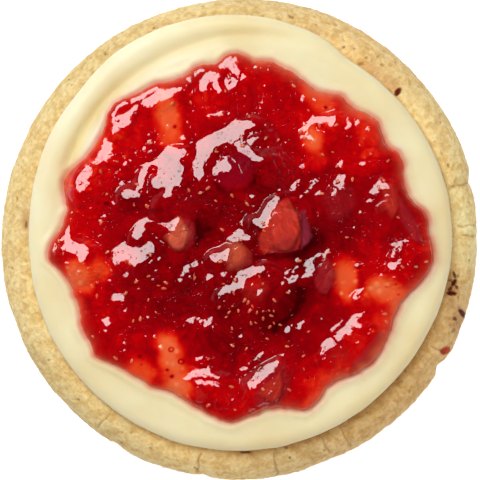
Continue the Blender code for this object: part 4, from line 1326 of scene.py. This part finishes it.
def dice_reach(number, directions, half, turned_by, soft, top_cut):
    """How far a dice reaches each way: an ellipsoid with soft-edged knife cuts and a flat top."""
    draw = random.Random(RANDOM_SEED * 10 + number)
    planes = []
    for cut in range(4):
        bearing = math.radians(90 * cut + draw.uniform(-25, 25))
        slant = math.radians(draw.uniform(10, 35))
        level = math.cos(slant)
        planes.append(((math.cos(bearing) * level, math.sin(bearing) * level, math.sin(slant)), 0.86))
    upwards = np.array((*(-0.10 * TOWARDS_LIGHT), 1.0))
    planes.append((tuple(turned_by.T @ (upwards / np.linalg.norm(upwards))), top_cut))
    reach = 1 / np.linalg.norm(directions / half, axis=1)
    for plane, share in planes:
        plane = np.array(plane) / np.linalg.norm(plane)
        furthest = np.linalg.norm(plane * half) * share
        along = directions @ plane
        distance = np.where(along > 0.05, furthest / np.maximum(along, 0.05), 99.0)
        reach = smooth_min(reach, distance, (0.2 + 0.3 * soft) * half[1])
    return reach


def jam_level(x, y):
    """Height of the jam at one place, without its shining places."""
    height, rounding, radius, angle = jam_base(np.array([x]), np.array([y]))
    level = cream_top(radius, angle) + GAP + JAM_EDGE_THICKNESS + (height - JAM_EDGE_THICKNESS) * rounding
    return float(level[0])


def flesh_colour(number, points, facing):
    """Fibrous flesh, with painted shade on its side away from the light."""
    wide = np.stack((points[:, 0] / 6.0, points[:, 1] / 0.9, points[:, 2] / 0.9), axis=1)
    thin = np.stack((points[:, 0] / 3.0, points[:, 1] / 0.35, points[:, 2] / 0.35), axis=1)
    across, fine = perlin(wide + number, 127), perlin(thin + number, 129)
    # Painted shade on the side of the dice that faces away from the softbox.
    shaded = smoothstep(0.1, 0.9, -facing @ np.array((*TOWARDS_LIGHT, 0.0)))
    core = 0.15 + 0.75 * FRUIT_TONES[number][1] + 0.34 * across + 0.22 * fine - 0.25 * shaded
    flesh = ramp_colour(np.clip(core, 0, 1), FLESH_RAMP)
    return flesh * (1 - 0.8 * shaded[:, None]) + PAINTED_SHADE_FLESH * 0.8 * shaded[:, None], across


def make_fruit(number, entry, material):
    x, y, length, width, height, turn, tilt, proud = entry
    soft = FRUIT_SOFT[number]
    top_cut = 0.70 + 0.14 * soft
    directions, faces = unit_sphere(6)
    turned_by = turn_matrix(math.radians(tilt) / 2, math.radians(tilt) / 2, math.radians(turn))
    half = np.array((length, width, height)) / 2
    points = directions * dice_reach(number, directions, half, turned_by, soft, top_cut)[:, None]
    rough = 0.20 * layered(points / 2.6 + number * 7.3, 101, 2)
    rough = rough + 0.03 * layered(points / 0.9 + number, 113, 2)
    points = points + directions * rough[:, None]
    top = jam_level(x, y) + proud * FRUIT_SHOWN[number]
    placed = points @ turned_by.T + np.array((x, y, top - top_cut * height / 2))
    flesh, across = flesh_colour(number, points, directions @ turned_by.T)
    above = placed[:, 2] - jam_surface(placed[:, 0], placed[:, 1])[0]
    middle = np.hypot(2 * points[:, 0] / length, 2 * points[:, 1] / width)
    inside = 1 - smoothstep(0.30, 0.95, middle + 0.12 * across)
    bare = (1 - soft) * smoothstep(-0.1, 0.9, above) + soft * inside
    flat_x, flat_y = placed[:, 0].copy(), placed[:, 1].copy()
    film = film_colour(flat_x, flat_y, jam_depth(flat_x, flat_y, np.zeros(len(placed))))
    seen = (bare * FRUIT_TONES[number][0])[:, None]
    tint = film * (1 - seen) + flesh * seen
    name, node = f"fruit_{number + 1}", f"strawberry_{number + 1}"
    make_piece(name, placed, faces.tolist(), tint, material, node)


def surface_normal(x, y):
    step = 0.15
    here = np.array((x, x + step, x)), np.array((y, y, y + step))
    heights = jam_surface(*here)[0]
    normal = np.array((-(heights[1] - heights[0]) / step, -(heights[2] - heights[0]) / step, 1.0))
    return heights[0], normal / np.linalg.norm(normal)


def make_seeds(seeds, draw):
    points, faces = unit_sphere(2)
    taper = 1 - SEED_TAPER * points[:, 0]
    shape = points * np.stack((np.ones(len(points)), taper, taper), axis=1)
    vertices, all_faces, tints = [], [], []
    for x, y, sunk in seeds:
        height, normal = surface_normal(x, y)
        half = SEED_HALF_SIZE * draw.uniform(0.68, 1.18)
        spin = turn_matrix(draw.uniform(-0.2, 0.2), draw.uniform(-0.25, 0.25), draw.uniform(0, 2 * math.pi))
        across = np.cross(normal, (0.0, 1.0, 0.0))
        across /= np.linalg.norm(across)
        basis = np.stack((across, np.cross(normal, across), normal), axis=1)
        middle = np.array((x, y, height)) + normal * (0.16 - 0.20 * sunk)
        all_faces.extend((faces + len(vertices) * len(points)).tolist())
        vertices.append((shape * half) @ spin.T @ basis.T + middle)
        gold = SEED_GOLD * draw.uniform(0.72, 1.04)
        blush = min(1.0, 0.05 + sunk * draw.uniform(0.6, 1.2))
        tints.append(np.tile(gold * (1 - blush) + SEED_RED * blush, (len(points), 1)))
    make_piece("jam_seeds", np.vstack(vertices), all_faces, np.vstack(tints), seed_material())


# ---------------------------------------------------------------- the scene


def make_camera():
    data = bpy.data.cameras.new("camera")
    data.sensor_width = data.sensor_height = SENSOR
    data.lens = LENS
    camera = bpy.data.objects.new("camera", data)
    camera.location = (0, 0, CAMERA_HEIGHT)
    bpy.context.scene.collection.objects.link(camera)
    bpy.context.scene.camera = camera


def make_lamp(name, place, size, energy, colour, mirrored):
    """A square lamp turned to the cookie, and whether wet surfaces mirror it."""
    data = bpy.data.lights.new(name, "AREA")
    data.shape = "SQUARE"
    data.size = size
    data.energy = energy
    data.color = colour
    lamp = bpy.data.objects.new(name, data)
    lamp.location = place
    lamp.rotation_euler = Vector(place).to_track_quat("Z", "Y").to_euler()
    lamp.visible_glossy = mirrored
    bpy.context.scene.collection.objects.link(lamp)


def make_lamps():
    """A softbox to the upper left, a wide fill overhead and a weak lamp at the lower right."""
    elevation = math.radians(LIGHT_ELEVATION)
    towards = Vector((*(TOWARDS_LIGHT * math.cos(elevation)), math.sin(elevation)))
    distance, *softbox = SOFTBOX
    make_lamp("softbox", towards * distance, *softbox, True)
    height, *fill = FILL
    make_lamp("fill", (0.0, 0.0, height), *fill, False)
    make_lamp("side", *SIDE_LAMP, False)


def make_room():
    """A room that is bright near the horizon, most of all on the side to the softbox."""
    world = bpy.data.worlds.new("studio")
    world.use_nodes = True
    tree = world.node_tree
    background = tree.nodes["Background"]
    direction = tree.nodes.new("ShaderNodeTexCoord").outputs["Generated"]
    upwards = tree.nodes.new("ShaderNodeSeparateXYZ")
    tree.links.new(direction, upwards.inputs["Vector"])
    sideways = tree.nodes.new("ShaderNodeVectorMath")
    sideways.operation = "DOT_PRODUCT"
    sideways.inputs[1].default_value = (*TOWARDS_LIGHT, 0.0)
    tree.links.new(direction, sideways.inputs[0])
    mix = tree.nodes.new("ShaderNodeMix")
    mix.data_type, mix.blend_type = "RGBA", "MULTIPLY"
    mix.inputs[0].default_value = 1.0
    for value, stops, socket in (
        (sideways.outputs["Value"], ROOM_SIDES, mix.inputs[6]),
        (upwards.outputs["Z"], ROOM_HEIGHTS, mix.inputs[7]),
    ):
        ramp = tree.nodes.new("ShaderNodeValToRGB")
        for element, (position, colour) in zip(ramp.color_ramp.elements, stops):
            element.position, element.color = position, colour
        tree.links.new(value, ramp.inputs["Fac"])
        tree.links.new(ramp.outputs["Color"], socket)
    tree.links.new(mix.outputs[2], background.inputs["Color"])
    background.inputs["Strength"].default_value = ROOM_STRENGTH
    bpy.context.scene.world = world


def make_floor():
    mesh = bpy.data.meshes.new("floor")
    corners = [(x * FLOOR_HALF, y * FLOOR_HALF, 0) for x, y in ((-1, -1), (1, -1), (1, 1), (-1, 1))]
    mesh.from_pydata(corners, [], [(0, 1, 2, 3)])
    mesh.materials.append(floor_material())
    floor = bpy.data.objects.new("floor", mesh)
    floor.location.z = -FLOOR_DROP
    bpy.context.scene.collection.objects.link(floor)


make_camera()
make_lamps()
make_room()
make_floor()
bpy.context.scene.view_settings.view_transform = "Standard"
bpy.context.scene.view_settings.look = "None"

flesh_material = fruit_material()
top_seeds = seed_places(SEED_COUNT, random.Random(RANDOM_SEED))
top_seeds += patch_places(random.Random(RANDOM_SEED + 3), top_seeds)
sunk_seeds = seed_places(HIDDEN_SEED_COUNT, random.Random(RANDOM_SEED + 2), top_seeds)
make_cookie()
make_cream()
make_jam(top_seeds, sunk_seeds)
make_seeds(top_seeds, random.Random(RANDOM_SEED + 1))
for fruit_number, fruit_entry in enumerate(FRUIT):
    make_fruit(fruit_number, fruit_entry, flesh_material)
